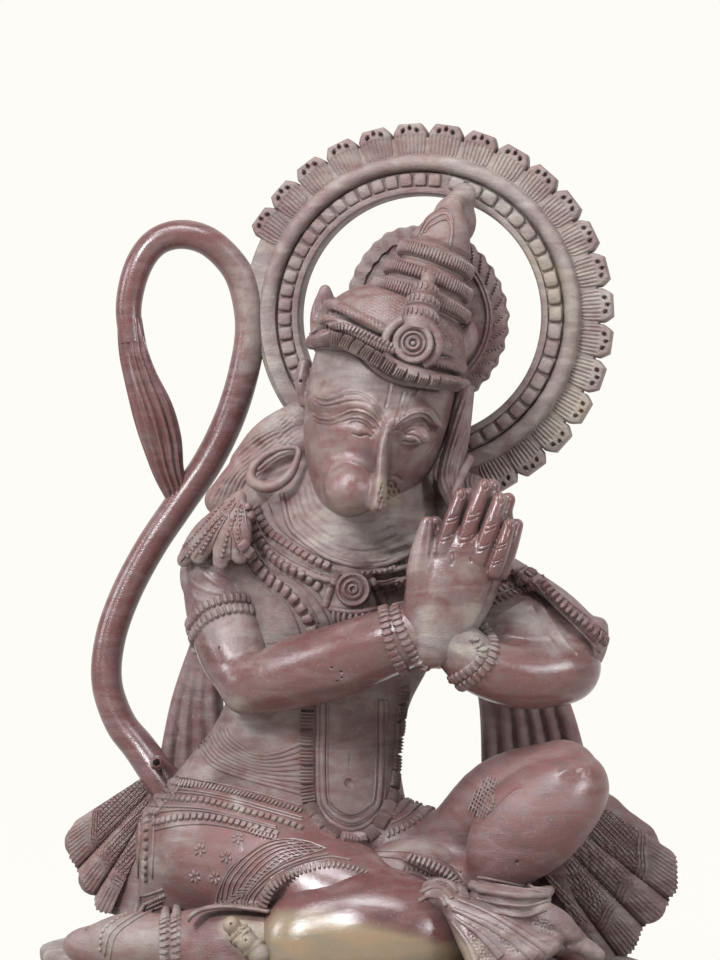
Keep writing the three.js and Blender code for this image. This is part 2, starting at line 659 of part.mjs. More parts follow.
function fans() {
  const leaf = (root, [x, y, z, width]) => limb([root, mix(root, [x, y, z], 0.6), [x, y, z]],
    [[6, 9], [width * 0.9, 10], [width, 8]], { steps: 2 });
  const left = [[-137, 33, 79, 11], [-129, 29, 60, 10], [-116, 25, 51, 10], [-104, 22, 40, 12]];
  const right = [
    [131, 22, 99, 9], [148, 22, 84, 10.5], [160, 21, 69, 12], [153, 17, 50, 13], [138, 11, 36, 13],
    [118, 6, 32, 12],
  ];
  return [
    ...left.map((tip) => leaf([-88, 30, 104], tip)),
    ...right.map((tip) => leaf([92, 20, 122], tip)),
    plate([[-84, 108], [-116, 84], [-114, 66], [-100, 50], [-98, 26], [-40, 26], [-40, 108]],
      16, 34),
    plate([[70, 122], [106, 122], [132, 84], [142, 68], [132, 48], [122, 26], [40, 26], [40, 96],
      [70, 104]], 6, 24),
  ];
}

const figure = join([
  ...crownDisc(), ...tail(), ...head(), ...crown(), ...hair(), ...trunk(), ...capes(), ...arms(),
  ...hands(), ...necklaces(), ...belts(), ...frontLeg(), ...raisedLeg(), ...lapCloth(),
  ...shawl(), ...fans(),
]);
const carving = join([await thinned(figure, figureFacets), plinth(), halo()]);

const soapstone = new THREE.MeshStandardMaterial({ color: 0x7d5552, roughness: 0.45, metalness: 0 });
const statue = new THREE.Mesh(geometryOf(carving), soapstone);
statue.name = 'hanuman_figure';
const group = new THREE.Group();
group.add(statue);

export default group;
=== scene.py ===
# %% [markdown]
# A soapstone figure of a kneeling monkey deity, carved with its plinth from one block.
# The solid model gives the size and the place of everything; this scene gives the surface that
# a chisel, a drill and a polishing stone left. The figure is modelled as a carver works: large
# rounded masses first, then grooves and folds, then beads, ribs and petals, and last the finish.

# %% Load the frame
import math

import bmesh
import bpy
import numpy as np
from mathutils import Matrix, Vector
from mathutils.bvhtree import BVHTree


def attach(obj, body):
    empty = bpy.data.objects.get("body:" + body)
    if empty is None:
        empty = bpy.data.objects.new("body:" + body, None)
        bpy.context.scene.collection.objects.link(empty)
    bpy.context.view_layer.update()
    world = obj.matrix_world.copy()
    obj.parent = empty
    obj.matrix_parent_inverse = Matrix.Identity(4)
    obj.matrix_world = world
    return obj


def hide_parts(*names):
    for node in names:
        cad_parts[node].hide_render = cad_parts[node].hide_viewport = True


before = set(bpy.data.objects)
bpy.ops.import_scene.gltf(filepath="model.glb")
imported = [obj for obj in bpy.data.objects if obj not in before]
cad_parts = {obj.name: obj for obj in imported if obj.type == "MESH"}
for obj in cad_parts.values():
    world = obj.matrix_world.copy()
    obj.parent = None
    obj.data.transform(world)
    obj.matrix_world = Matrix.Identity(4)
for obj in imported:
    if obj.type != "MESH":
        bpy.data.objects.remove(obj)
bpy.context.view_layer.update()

MM = 0.001  # the forms below are in millimetres, and every mesh is in metres

# %% [markdown]
# The camera comes first, because carved lines are easiest to place where the eye sees them. It
# stands level, seven degrees to the right of the figure's front, as far off as a portrait lens
# needs. Two functions turn a point in space into a place in the picture and back.

# %% Camera
VIEW_TURN = math.radians(7)
VIEW_DISTANCE = 1966.0
VIEW_HEIGHT = 261.0
VIEW_ASIDE = 10.8
LENS = 150.0
SENSOR = 36.0
PICTURE = (720, 960)

across = np.array([math.cos(VIEW_TURN), math.sin(VIEW_TURN), 0.0])
towards = np.array([math.sin(VIEW_TURN), -math.cos(VIEW_TURN), 0.0])
aim = across * VIEW_ASIDE + np.array([0, 0, VIEW_HEIGHT])
eye = aim + towards * VIEW_DISTANCE
focal = LENS / SENSOR * max(PICTURE)


def linked(name, data):
    """An object for a mesh, a lamp or a camera, put into the scene."""
    made = bpy.data.objects.new(name, data)
    bpy.context.scene.collection.objects.link(made)
    return made


camera = linked("camera", bpy.data.cameras.new("camera"))
bpy.context.scene.camera = camera
camera.data.lens = LENS
camera.data.sensor_width = SENSOR
camera.location = Vector(eye * MM)
camera.rotation_mode = "QUATERNION"
camera.rotation_quaternion = Vector(-towards).to_track_quat("-Z", "Y")


def picture_place(points):
    """Where points, in millimetres, fall in the 720 by 960 picture."""
    away = VIEW_DISTANCE - (points - aim) @ towards
    u = PICTURE[0] / 2 + focal * ((points - aim) @ across) / away
    v = PICTURE[1] / 2 - focal * (points[:, 2] - VIEW_HEIGHT) / away
    return u, v


def sight(u, v):
    """The direction from the eye through a place in the picture."""
    ray = -towards * focal + across * (u - PICTURE[0] / 2)
    ray = ray + np.array([0, 0, PICTURE[1] / 2 - v])
    return ray / np.linalg.norm(ray)


def spot(u, v, depth):
    """The point at a given depth, along Y, that falls at a place in the picture."""
    ray = sight(u, v)
    return eye + ray * (depth - eye[1]) / ray[1]


print("camera at", [round(float(c)) for c in eye], "mm")

# %% [markdown]
# Rounded masses are modelled like clay. A block of space is sampled on a grid that holds, at each
# point, how far it is from the surface. Balls and limbs are added with a soft join, the way one
# muscle runs into the next, and the surface is then drawn through the grid where the distance is
# zero. Metaballs would do this too, but give no control over squashed sections or soft joins.

# %% Clay
FAR = 60.0  # the distance held where no form has been added yet


class Clay:
    """A block of space sampled on a grid: below zero is stone, above zero is air."""

    def __init__(self, low, high, step):
        self.step = step
        self.axes = [np.arange(a, b + step, step, dtype=np.float32) for a, b in zip(low, high)]
        self.depth = np.full([len(a) for a in self.axes], FAR, np.float32)

    def window(self, low, high, margin):
        """The part of the grid round a form, as slices and as open coordinates."""
        slices = []
        for axis, a, b in zip(self.axes, low, high):
            first = int(np.searchsorted(axis, a - margin))
            last = int(np.searchsorted(axis, b + margin))
            slices.append(slice(first, max(last, first)))
        spots = [axis[s] for axis, s in zip(self.axes, slices)]
        x, y, z = np.ix_(*spots)
        return tuple(slices), x, y, z

    def join(self, place, depth, soft):
        """Adds a form, with a fillet of about the given size."""
        self.depth[place] = blended(self.depth[place], depth, soft)


def blended(one, other, soft):
    """The lesser of two depths, run together where they are nearly the same."""
    if soft <= 0:
        return np.minimum(one, other)
    mix = np.clip(0.5 + 0.5 * (other - one) / soft, 0, 1)
    return other + (one - other) * mix - soft * mix * (1 - mix)


def unit(vectors):
    """Vectors made one long."""
    return vectors / np.linalg.norm(vectors, axis=-1, keepdims=True)


def smooth_path(points, pieces=8, closed=False):
    """A Catmull-Rom curve through points of any width."""
    p = np.asarray(points, float)
    if len(p) < 3 and not closed:
        t = np.linspace(0, 1, pieces * (len(p) - 1) + 1)[:, None]
        return p[0] + (p[-1] - p[0]) * t
    if closed:
        p = np.concatenate([p[-1:], p, p[:2]])
    else:
        p = np.concatenate([2 * p[:1] - p[1:2], p, 2 * p[-1:] - p[-2:-1]])
    t = np.arange(pieces)[:, None] / pieces
    spans = []
    for a, b, c, d in zip(p, p[1:], p[2:], p[3:]):
        spans.append(0.5 * (2 * b + (c - a) * t + (2 * a - 5 * b + 4 * c - d) * t ** 2
                            + (3 * b - a - 3 * c + d) * t ** 3))
    if not closed:
        spans.append(p[-2:-1])
    return np.concatenate(spans)


def full_turn(steps):
    """Angles evenly round a circle, as a column."""
    return np.linspace(0, 2 * math.pi, steps, endpoint=False)[:, None]


def width_pairs(widths, count):
    """Half widths [sideways, front to back] for each point of a path."""
    pairs = [w if isinstance(w, (list, tuple)) else (w, w) for w in widths]
    while len(pairs) < count:
        pairs.append(pairs[-1])
    return pairs


def limb(clay, path, widths, soft=6.0, closed=False):
    """A limb or fold: a swept round of changing half widths, squashed from front to back."""
    pairs = width_pairs(widths, len(path))
    run = smooth_path([list(p) + list(w) for p, w in zip(path, pairs)], 6, closed)
    if closed:
        run = np.concatenate([run, run[:1]])
    reach = run[:, 3:].max()
    low, high = run[:, :3].min(0) - reach, run[:, :3].max(0) + reach
    margin = soft + 2 * clay.step
    place = clay.window(low, high, margin)[0]
    if 0 in clay.depth[place].shape:
        return
    depth = np.full(clay.depth[place].shape, FAR, np.float32)
    block = Clay.__new__(Clay)
    block.axes = [axis[s] for axis, s in zip(clay.axes, place)]
    for a, b in zip(run, run[1:]):
        near = max(a[3], b[3], a[4], b[4])
        lo, hi = np.minimum(a, b)[:3] - near, np.maximum(a, b)[:3] + near
        part, px, py, pz = block.window(lo, hi, margin + 4)
        squash = max(a[3] + b[3], 1e-3) / max(a[4] + b[4], 1e-3)
        step = b[:3] - a[:3]
        span = step * np.array([1, squash, 1])
        length = max(float(span @ span), 1e-6)
        dx, dy, dz = px - a[0], (py - a[1]) * squash, pz - a[2]
        along = np.clip((dx * span[0] + dy * span[1] + dz * span[2]) / length, 0, 1)
        gap = np.sqrt((dx - along * span[0]) ** 2 + (dy - along * span[1]) ** 2
                      + (dz - along * span[2]) ** 2)
        gap = (gap - (a[3] + (b[3] - a[3]) * along)) / max(1.0, squash)
        depth[part] = np.minimum(depth[part], gap)
    clay.join(place, depth, soft)


def turn_matrix(degrees):
    """Rotation about X, then Y, then Z."""
    rx, ry, rz = (math.radians(d) for d in degrees)
    mx = np.array([[1, 0, 0], [0, math.cos(rx), -math.sin(rx)], [0, math.sin(rx), math.cos(rx)]])
    my = np.array([[math.cos(ry), 0, math.sin(ry)], [0, 1, 0], [-math.sin(ry), 0, math.cos(ry)]])
    mz = np.array([[math.cos(rz), -math.sin(rz), 0], [math.sin(rz), math.cos(rz), 0], [0, 0, 1]])
    return mz @ my @ mx


def ball(clay, centre, radii, turn=(0, 0, 0), soft=6.0):
    """A rounded mass, its three radii turned about X, Y and Z."""
    reach = max(radii)
    low, high = np.array(centre) - reach, np.array(centre) + reach
    place, x, y, z = clay.window(low, high, soft + 2 * clay.step)
    if 0 in clay.depth[place].shape:
        return
    m = turn_matrix(turn).T
    dx, dy, dz = x - centre[0], y - centre[1], z - centre[2]
    local = [m[i, 0] * dx + m[i, 1] * dy + m[i, 2] * dz for i in range(3)]
    scaled = [np.abs(c) / r for c, r in zip(local, radii)]
    size = np.sqrt(sum(s ** 2 for s in scaled))
    slope = np.sqrt(sum((s / r) ** 2 for s, r in zip(scaled, radii)))
    depth = np.where(size < 0.3, (size - 1) * min(radii), size * (size - 1) / (slope + 1e-6))
    clay.join(place, depth.astype(np.float32), soft)


print("clay tools ready")

# %% [markdown]
# The surface through the clay has one corner in each grid cell that it crosses, at the mean of
# the crossings on that cell's edges, and one quad for each grid edge that it cuts. That gives an
# even mesh of closed quads, which takes carved lines well. Blender's own Remesh would need a mesh
# to start from.


# %% Skin
CELL_CORNERS = [(i, j, k) for i in (0, 1) for j in (0, 1) for k in (0, 1)]


def skin(clay):
    """Corners and quads of the surface in a clay block."""
    depth = clay.depth
    stone = depth < 0
    shape = [n - 1 for n in depth.shape]
    filled = np.zeros(shape, np.uint8)
    for i, j, k in CELL_CORNERS:
        filled += stone[i:i + shape[0], j:j + shape[1], k:k + shape[2]]
    cells = np.argwhere((filled > 0) & (filled < 8))
    number = np.full(shape, -1, np.int32)
    number[tuple(cells.T)] = np.arange(len(cells))
    values = np.stack([depth[tuple((cells + c).T)] for c in CELL_CORNERS], 1)
    total, crossings = np.zeros((len(cells), 3)), np.zeros(len(cells))
    for a, one in enumerate(CELL_CORNERS):
        for axis in range(3):
            if one[axis]:
                continue
            other = tuple(c + (1 if n == axis else 0) for n, c in enumerate(one))
            va, vb = values[:, a], values[:, CELL_CORNERS.index(other)]
            crossed = (va < 0) != (vb < 0)
            share = np.where(crossed, va / np.where(crossed, va - vb, 1), 0)
            crossing = np.tile(np.array(one, float), (len(cells), 1))
            crossing[:, axis] += share
            total += crossing * crossed[:, None]
            crossings += crossed
    origin = np.array([axis[0] for axis in clay.axes])
    corners = origin + (cells + total / crossings[:, None]) * clay.step
    quads = []
    for axis in range(3):
        b, c = (axis + 1) % 3, (axis + 2) % 3
        near = [slice(None)] * 3
        far = [slice(None)] * 3
        near[axis], far[axis] = slice(0, -1), slice(1, None)
        for other in (b, c):
            near[other] = far[other] = slice(1, -1)
        one, two = stone[tuple(near)], stone[tuple(far)]
        for leaving in (True, False):
            at = np.argwhere((one & ~two) if leaving else (~one & two))
            at[:, b] += 1
            at[:, c] += 1
            ring = []
            for db, dc in ((-1, -1), (0, -1), (0, 0), (-1, 0)):
                cell = at.copy()
                cell[:, b] += db
                cell[:, c] += dc
                ring.append(number[tuple(cell.T)])
            quads.append(np.stack(ring if leaving else ring[::-1], 1))
    return corners, np.concatenate(quads)


def new_mesh(name, corners, faces):
    """A linked object from corners in millimetres and faces that all have as many corners."""
    mesh = bpy.data.meshes.new(name)
    sides = faces.shape[1]
    mesh.vertices.add(len(corners))
    mesh.vertices.foreach_set("co", (corners * MM).astype(np.float32).ravel())
    mesh.loops.add(faces.size)
    mesh.loops.foreach_set("vertex_index", faces.astype(np.int32).ravel())
    mesh.polygons.add(len(faces))
    mesh.polygons.foreach_set("loop_start", np.arange(0, faces.size, sides, dtype=np.int32))
    mesh.update(calc_edges=True)
    mesh.validate()
    mesh.shade_smooth()
    return linked(name, mesh)


def solid(name, corners, faces):
    """A smooth object from corners in millimetres and a list of faces of any size."""
    mesh = bpy.data.meshes.new(name)
    mesh.from_pydata((np.asarray(corners) * MM).tolist(), [], faces)
    mesh.update()
    mesh.shade_smooth()
    return linked(name, mesh)


def ringed(name, sections, closed):
    """A skin over rings of corners, one ring for each section."""
    sections = np.asarray(sections, float)
    index = np.arange(sections.shape[0] * sections.shape[1]).reshape(sections.shape[:2])
    after = np.roll(index, -1, 0) if closed else index[1:]
    start = index if closed else index[:-1]
    quads = np.stack([start, np.roll(start, -1, 1), np.roll(after, -1, 1), after], -1)
    faces = quads.reshape(-1, 4).tolist()
    if not closed:
        faces += [index[0][::-1].tolist(), index[-1].tolist()]
    return solid(name, sections.reshape(-1, 3), faces)


def corners_of(piece):
    co = np.empty(len(piece.data.vertices) * 3, np.float32)
    piece.data.vertices.foreach_get("co", co)
    return co.reshape(-1, 3).astype(float) / MM


def normals_of(piece):
    no = np.empty(len(piece.data.vertices) * 3, np.float32)
    piece.data.vertices.foreach_get("normal", no)
    return no.reshape(-1, 3).astype(float)


def place_corners(piece, corners):
    piece.data.vertices.foreach_set("co", (corners * MM).astype(np.float32).ravel())
    piece.data.update()


def flattened(piece):
    """Turns a piece's modifiers into plain mesh."""
    graph = bpy.context.evaluated_depsgraph_get()
    done = bpy.data.meshes.new_from_object(piece.evaluated_get(graph))
    piece.modifiers.clear()
    old = piece.data
    piece.data = done
    done.name = piece.name
    bpy.data.meshes.remove(old)
    return piece


def refined(corners, quads):
    """One round of Catmull-Clark smoothing, so that the surface takes finer lines."""
    quads = quads.astype(np.int64)
    middles = corners[quads].mean(1)
    pairs = np.sort(np.stack([quads, np.roll(quads, -1, 1)], -1).reshape(-1, 2), 1)
    keys, edge_of = np.unique(pairs[:, 0] * len(corners) + pairs[:, 1], return_inverse=True)
    ends = np.stack([keys // len(corners), keys % len(corners)], 1)
    face_of = np.repeat(np.arange(len(quads)), 4)

    def mean_by(index, values, size):
        count = np.bincount(index, minlength=size)[:, None]
        total = [np.bincount(index, values[:, k], size) for k in range(3)]
        return np.stack(total, 1) / np.maximum(count, 1)

    halfway = corners[ends].mean(1)
    edges = (halfway + mean_by(edge_of, middles[face_of], len(keys))) / 2
    around = mean_by(quads.ravel(), middles[face_of], len(corners))
    rim = mean_by(ends.ravel(), np.repeat(halfway, 2, 0), len(corners))
    share = np.maximum(np.bincount(quads.ravel(), minlength=len(corners)), 3)[:, None]
    moved = (around + 2 * rim + (share - 3) * corners) / share
    edge_of = edge_of.reshape(-1, 4) + len(corners)
    centre = np.arange(len(quads)) + len(corners) + len(keys)
    fine = [np.stack([quads[:, i], edge_of[:, i], centre, edge_of[:, i - 1]], 1) for i in range(4)]
    return np.concatenate([moved, edges, middles]), np.concatenate(fine)


def shaped(name, clay):
    """A smooth piece from a clay block, with corners enough for carved lines."""
    return new_mesh(name, *refined(*skin(clay)))


def thinned(piece, most):
    """Drops the faces that flat stretches don't need."""
    count = sum(len(f.vertices) - 2 for f in piece.data.polygons)
    if count > most:
        thinning = piece.modifiers.new("thinning", "DECIMATE")
        thinning.ratio = most / count
        flattened(piece)
    return piece


print("skin tools ready")

# %% [markdown]
# Lines are cut into the clay by moving its corners along their normals. A line is a smooth path
# in the picture; each corner knows how far it lies from the path and how far along it, and a
# profile turns those two distances into a height. Folds, brows, hair and rough grounds are cut so.

# %% Chisel
PIXEL = VIEW_DISTANCE / focal  # millimetres on the figure for one pixel


def off_line(u, v, a, b):
    """How far places lie from a straight piece of line, and how far along it, as a share."""
    du, dv = b - a
    share = np.clip(((u - a[0]) * du + (v - a[1]) * dv) / (du ** 2 + dv ** 2 + 1e-9), 0, 1)
    return np.hypot(u - a[0] - share * du, v - a[1] - share * dv), share


def enclosed(u, v, ring):
    """Which places lie inside a ring, by counting the sides to their left."""
    within = np.zeros(len(u), bool)
    for a, b in zip(ring, np.roll(ring, -1, 0)):
        crosses = (a[1] > v) != (b[1] > v)
        within ^= crosses & (u < a[0] + (v - a[1]) * (b[0] - a[0]) / (b[1] - a[1] + 1e-9))
    return within


class Carving:
    """Heights cut into, or raised from, the side of a piece that the eye sees."""

    def __init__(self, piece):
        self.piece = piece
        self.corners = corners_of(piece)
        self.normals = normals_of(piece)
        self.u, self.v = picture_place(self.corners)
        self.facing = np.clip((self.normals @ towards - 0.08) / 0.3, 0, 1)
        self.height = np.zeros(len(self.corners))

    def near(self, path, reach, closed=False):
        """Corners near a path, their distance to it, side of it and way along it, in mm."""
        run = smooth_path(path, 8, closed)
        if closed:
            run = np.concatenate([run, run[:1]])
        low, high = run.min(0) - reach / PIXEL, run.max(0) + reach / PIXEL
        inside = (self.u > low[0]) & (self.u < high[0]) & (self.v > low[1]) & (self.v < high[1])
        picked = np.flatnonzero(inside & (self.facing > 0))
        u, v = self.u[picked], self.v[picked]
        gap = np.full(len(picked), 1e6)
        side, along, start = np.zeros(len(picked)), np.zeros(len(picked)), 0.0
        for a, b in zip(run, run[1:]):
            length = math.hypot(*(b - a))
            away, share = off_line(u, v, a, b)
            nearer = away < gap
            gap = np.where(nearer, away, gap)
            turn = np.sign((u - a[0]) * (b - a)[1] - (v - a[1]) * (b - a)[0])
            side = np.where(nearer, turn, side)
            along = np.where(nearer, start + share * length, along)
            start += length
        return picked, gap * PIXEL, side, along * PIXEL, start * PIXEL

    def add(self, picked, heights):
        self.height[picked] += heights * self.facing[picked]

    def groove(self, path, width, depth, closed=False):
        picked, gap, _, along, total = self.near(path, width * 3, closed)
        ends = np.clip(np.minimum(along, total - along) / (2 * width), 0, 1) if not closed else 1
        self.add(picked, -depth * np.exp(-(gap / width) ** 2) * ends)

    def ridge(self, path, width, rise):
        self.groove(path, width, -rise)

    def cord(self, path, width, rise, pitch, share, slant=0.0):
        """A raised strip cut across into beads or ribs."""
        picked, gap, side, along, _ = self.near(path, width * 1.6)
        body = np.clip(1 - (gap / width) ** 4, 0, 1)
        wave = 0.5 + 0.5 * np.cos(2 * math.pi * (along + slant * gap * side) / pitch)
        self.add(picked, rise * body * (1 - share * wave ** 2))

    def inside(self, outline):
        """Corners within an outline in the picture, fading over half a millimetre at its edge."""
        ring = np.asarray(outline, float)
        low, high = ring.min(0), ring.max(0)
        box = (self.u > low[0]) & (self.u < high[0]) & (self.v > low[1]) & (self.v < high[1])
        picked = np.flatnonzero(box & (self.facing > 0))
        u, v = self.u[picked], self.v[picked]
        gap = np.full(len(picked), 1e6)
        for a, b in zip(ring, np.roll(ring, -1, 0)):
            gap = np.minimum(gap, off_line(u, v, a, b)[0])
        keep = enclosed(u, v, ring)
        return picked[keep], np.clip(gap[keep] * PIXEL / 0.6, 0, 1)

    def drill(self, u, v, radius, depth):
        away = np.hypot(self.u - u, self.v - v) * PIXEL
        picked = np.flatnonzero(away < radius * 1.5)
        self.add(picked, -depth * np.clip((radius * 1.15 - away[picked]) / (0.3 * radius), 0, 1))

    def strands(self, path, width, pitch, depth, wave=0.0):
        """Fine lines side by side that follow a path, as in combed hair."""
        picked, gap, side, along, total = self.near(path, width)
        body = np.clip((width - gap) / (0.25 * width), 0, 1)
        body = body * np.clip(np.minimum(along, total - along) / width, 0, 1)
        turn = gap * side / pitch + wave * np.sin(along / 4)
        self.add(picked, -depth * body * (0.5 + 0.5 * np.cos(2 * math.pi * turn)) ** 1.5)

    def stipple(self, outline, pitch, depth, seed=1):
        """A rough, punched surface inside an outline."""
        picked, edge = self.inside(outline)
        u, v = self.u[picked] * PIXEL / pitch, self.v[picked] * PIXEL / pitch
        rough = np.zeros(len(picked))
        chance = np.random.default_rng(seed)
        for _ in range(7):
            angle, phase = chance.uniform(0, 2 * math.pi, 2)
            rough += np.cos(2 * math.pi * (u * math.cos(angle) + v * math.sin(angle)) + phase)
        self.add(picked, -depth * np.clip(rough / 3, 0, 1) * edge)

    def finish(self):
        place_corners(self.piece, self.corners + self.normals * self.height[:, None])


print("chisel ready; a pixel is", round(PIXEL, 3), "mm on the figure")

# %% [markdown]
# Beads, ribbed blocks, tiles and petals repeat along a path. One small form, a stamp, is made
# once, and a Geometry Nodes tree sets copies of it along the path, each turned to the surface
# below. The tree ends in real mesh.


# %% Rows of stamps
def row_tree():
    """Copies of a stamp along a path whose points know which way is out."""
    tree = bpy.data.node_groups.new("row of stamps", "GeometryNodeTree")
    keys = {}
    for name, kind, value in (
            ("Path", "Geometry", None), ("Stamp", "Object", None), ("Count", "Int", 8),
            ("Size", "Float", 1.0), ("Material", "Material", None)):
        socket = tree.interface.new_socket(name, in_out="INPUT", socket_type="NodeSocket" + kind)
        keys[name] = socket.identifier
        if value is not None:
            socket.default_value = value
    tree.interface.new_socket("Row", in_out="OUTPUT", socket_type="NodeSocketGeometry")
    kinds = {
        "given": "NodeGroupInput", "curve": "GeometryNodeMeshToCurve",
        "evenly": "GeometryNodeResampleCurve", "facing": "GeometryNodeInputNamedAttribute",
        "girth": "GeometryNodeInputNamedAttribute", "tangent": "GeometryNodeInputTangent",
        "turn": "FunctionNodeAxesToRotation", "scale": "ShaderNodeMath", "info": "GeometryNodeObjectInfo",
        "copies": "GeometryNodeInstanceOnPoints", "real": "GeometryNodeRealizeInstances",
        "coat": "GeometryNodeSetMaterial", "result": "NodeGroupOutput",
    }
    node = {name: tree.nodes.new(kind) for name, kind in kinds.items()}
    node["facing"].data_type = "FLOAT_VECTOR"
    node["facing"].inputs["Name"].default_value = "out"
    node["girth"].inputs["Name"].default_value = "size"
    node["turn"].primary_axis = "Z"
    node["turn"].secondary_axis = "X"
    node["scale"].operation = "MULTIPLY"
    for start, output, end, entry in (
            ("given", "Path", "curve", "Mesh"), ("curve", "Curve", "evenly", "Curve"),
            ("given", "Count", "evenly", "Count"), ("evenly", "Curve", "copies", "Points"),
            ("given", "Stamp", "info", "Object"), ("info", "Geometry", "copies", "Instance"),
            ("facing", "Attribute", "turn", "Primary Axis"),
            ("tangent", "Tangent", "turn", "Secondary Axis"),
            ("turn", "Rotation", "copies", "Rotation"), ("girth", "Attribute", "scale", 0),
            ("given", "Size", "scale", 1), ("scale", "Value", "copies", "Scale"),
            ("copies", "Instances", "real", "Geometry"), ("real", "Geometry", "coat", "Geometry"),
            ("given", "Material", "coat", "Material"), ("coat", "Geometry", "result", "Row")):
        tree.links.new(node[start].outputs[output], node[end].inputs[entry])
    return tree, keys


ROW_TREE, ROW_KEYS = row_tree()
stone = bpy.data.materials.new("soapstone")


def path_mesh(name, points, out, sizes, closed):
    """A path as bare edges that carries its outward direction and a size at each point."""
    mesh = bpy.data.meshes.new(name)
    edges = [(i, i + 1) for i in range(len(points) - 1)]
    if closed:
        edges.append((len(points) - 1, 0))
    mesh.from_pydata((np.asarray(points) * MM).tolist(), edges, [])
    mesh.attributes.new("out", "FLOAT_VECTOR", "POINT").data.foreach_set(
        "vector", np.asarray(out, np.float32).ravel())
    mesh.attributes.new("size", "FLOAT", "POINT").data.foreach_set(
        "value", np.asarray(sizes, np.float32))
    return linked(name, mesh)


def path_length(points, closed=False):
    ring = np.concatenate([points, points[:1]]) if closed else points
    return float(np.linalg.norm(np.diff(ring, axis=0), axis=1).sum())


def row(name, points, out, stamp, pitch=None, count=None, closed=False, sizes=None):
    """A row of copies of a stamp along a path, as plain mesh."""
    points = np.asarray(points, float)
    if count is None:
        count = max(2, round(path_length(points, closed) / pitch) + (0 if closed else 1))
    sizes = np.ones(len(points)) if sizes is None else np.asarray(sizes, float)
    piece = path_mesh(name, points, out, sizes, closed)
    setting = piece.modifiers.new("row", "NODES")
    setting.node_group = ROW_TREE
    for key, value in (("Stamp", stamp), ("Count", count), ("Size", 1.0), ("Material", stone)):
        setting[ROW_KEYS[key]] = value
    return flattened(piece)


stamps = []


def stamp_object(name, corners, faces):
    """A small form, hidden, for rows to copy."""
    piece = solid(name, corners, faces)
    piece.hide_render = True
    stamps.append(piece)
    return piece


def joined(name, pieces):
    """Several meshes as one piece."""
    bpy.ops.object.select_all(action="DESELECT")
    for piece in pieces:
        piece.select_set(True)
    bpy.context.view_layer.objects.active = pieces[0]
    bpy.ops.object.join()
    pieces[0].name = pieces[0].data.name = name
    return pieces[0]


print("rows ready")

# %% [markdown]
# A strip is a plain moulding swept along a path: a rim, a ring or a cord of stone. It needs no
# copies, so its rings of corners are worked out directly.


# %% Strips
def sweep(name, points, out, section, closed=False, sizes=None):
    """A moulding along a path; its section is a ring of (sideways, outwards) pairs in mm."""
    points, out = np.asarray(points, float), np.asarray(out, float)
    ahead = np.roll(points, -1, 0) - np.roll(points, 1, 0)
    if not closed:
        ahead[0], ahead[-1] = points[1] - points[0], points[-1] - points[-2]
    ahead = unit(ahead)
    out = unit(out - (out * ahead).sum(1)[:, None] * ahead)
    aside = np.cross(out, ahead)
    ring = np.asarray(section, float)
    swell = np.ones((len(points), 2)) if sizes is None else np.asarray(sizes, float)
    sections = (points[:, None] + aside[:, None] * (ring[None, :, :1] * swell[:, None, :1])
                + out[:, None] * (ring[None, :, 1:] * swell[:, None, 1:]))
    strip = ringed(name, sections, closed)
    strip.data.materials.append(stone)
    return strip


def round_section(half_width, half_height, sides):
    turns = [2 * math.pi * i / sides for i in range(sides)]
    return [(half_width * math.cos(t), half_height * math.sin(t)) for t in turns]


print("strips ready")

# %% [markdown]
# Necklaces, hems and bands lie on the masses below them. Their paths are drawn in the picture, and
# each point is thrown along the line of sight onto the stone, which gives its place and the way
# out of the surface there. Rings that go all the way round a limb are thrown again from behind.


# %% Laying on
class Stone:
    """The skins of several pieces, to throw paths onto, in millimetres."""

    def __init__(self, *pieces):
        graph = bpy.context.evaluated_depsgraph_get()
        self.trees = [BVHTree.FromObject(piece, graph) for piece in pieces]

    def seen(self, start, ray):
        """The first place that a ray meets, and the way out of the stone there."""
        best = (None, None, 4000 * MM)
        for tree in self.trees:
            hit, normal, _, away = tree.ray_cast(Vector(start) * MM, Vector(ray), best[2])
            if hit is not None:
                best = (hit / MM, normal, away)
        return best[:2]

    def nearest(self, point):
        best = (None, None, 30 * MM)
        for tree in self.trees:
            hit, normal, _, away = tree.find_nearest(Vector(point) * MM, best[2])
            if hit is not None:
                best = (hit / MM, normal, away)
        return best[:2]


def evened(directions, reach=3):
    """Directions averaged with their neighbours along a path."""
    padded = np.pad(directions, ((reach, reach), (0, 0)), mode="edge")
    return unit(sum(padded[i:i + len(directions)] for i in range(2 * reach + 1)))


def thrown(tree, pixels, pieces=6, closed=False):
    """A path in the picture, thrown onto the stone: places and outward directions."""
    places, out = [], []
    for u, v in smooth_path(pixels, pieces, closed):
        hit, normal = tree.seen(eye, sight(u, v))
        if hit is None:
            hit, normal = tree.nearest(eye + sight(u, v) * VIEW_DISTANCE)
        if hit is not None:
            places.append(hit)
            out.append(normal)
    return np.array(places, float), evened(np.array(out, float))


def wrapped(tree, pixels):
    """A ring round a limb: the path thrown from the front, and thrown again from behind."""
    front, out = thrown(tree, pixels)
    back, back_out = [], []
    for u, v in smooth_path(pixels, 6)[::-1]:
        ray = sight(u, v)
        hit, normal = tree.seen(eye + ray * 2 * VIEW_DISTANCE, -ray)
        if hit is not None:
            back.append(hit)
            back_out.append(normal)
    return np.concatenate([front, back]), evened(np.concatenate([out, back_out]), 1)


def lifted(path, height):
    places, out = path
    return places + out * height, out


def set_row(name, tree, pixels, stamp, pitch, lift=0.0):
    """A row of stamps along a path in the picture, lifted off the stone a little."""
    return row(name, *lifted(thrown(tree, pixels), lift), stamp, pitch)


def laid(name, tree, pixels, width, rise, sides=8, pieces=8):
    """A rounded strip along a path in the picture."""
    return sweep(name, *thrown(tree, pixels, pieces), round_section(width, rise, sides))


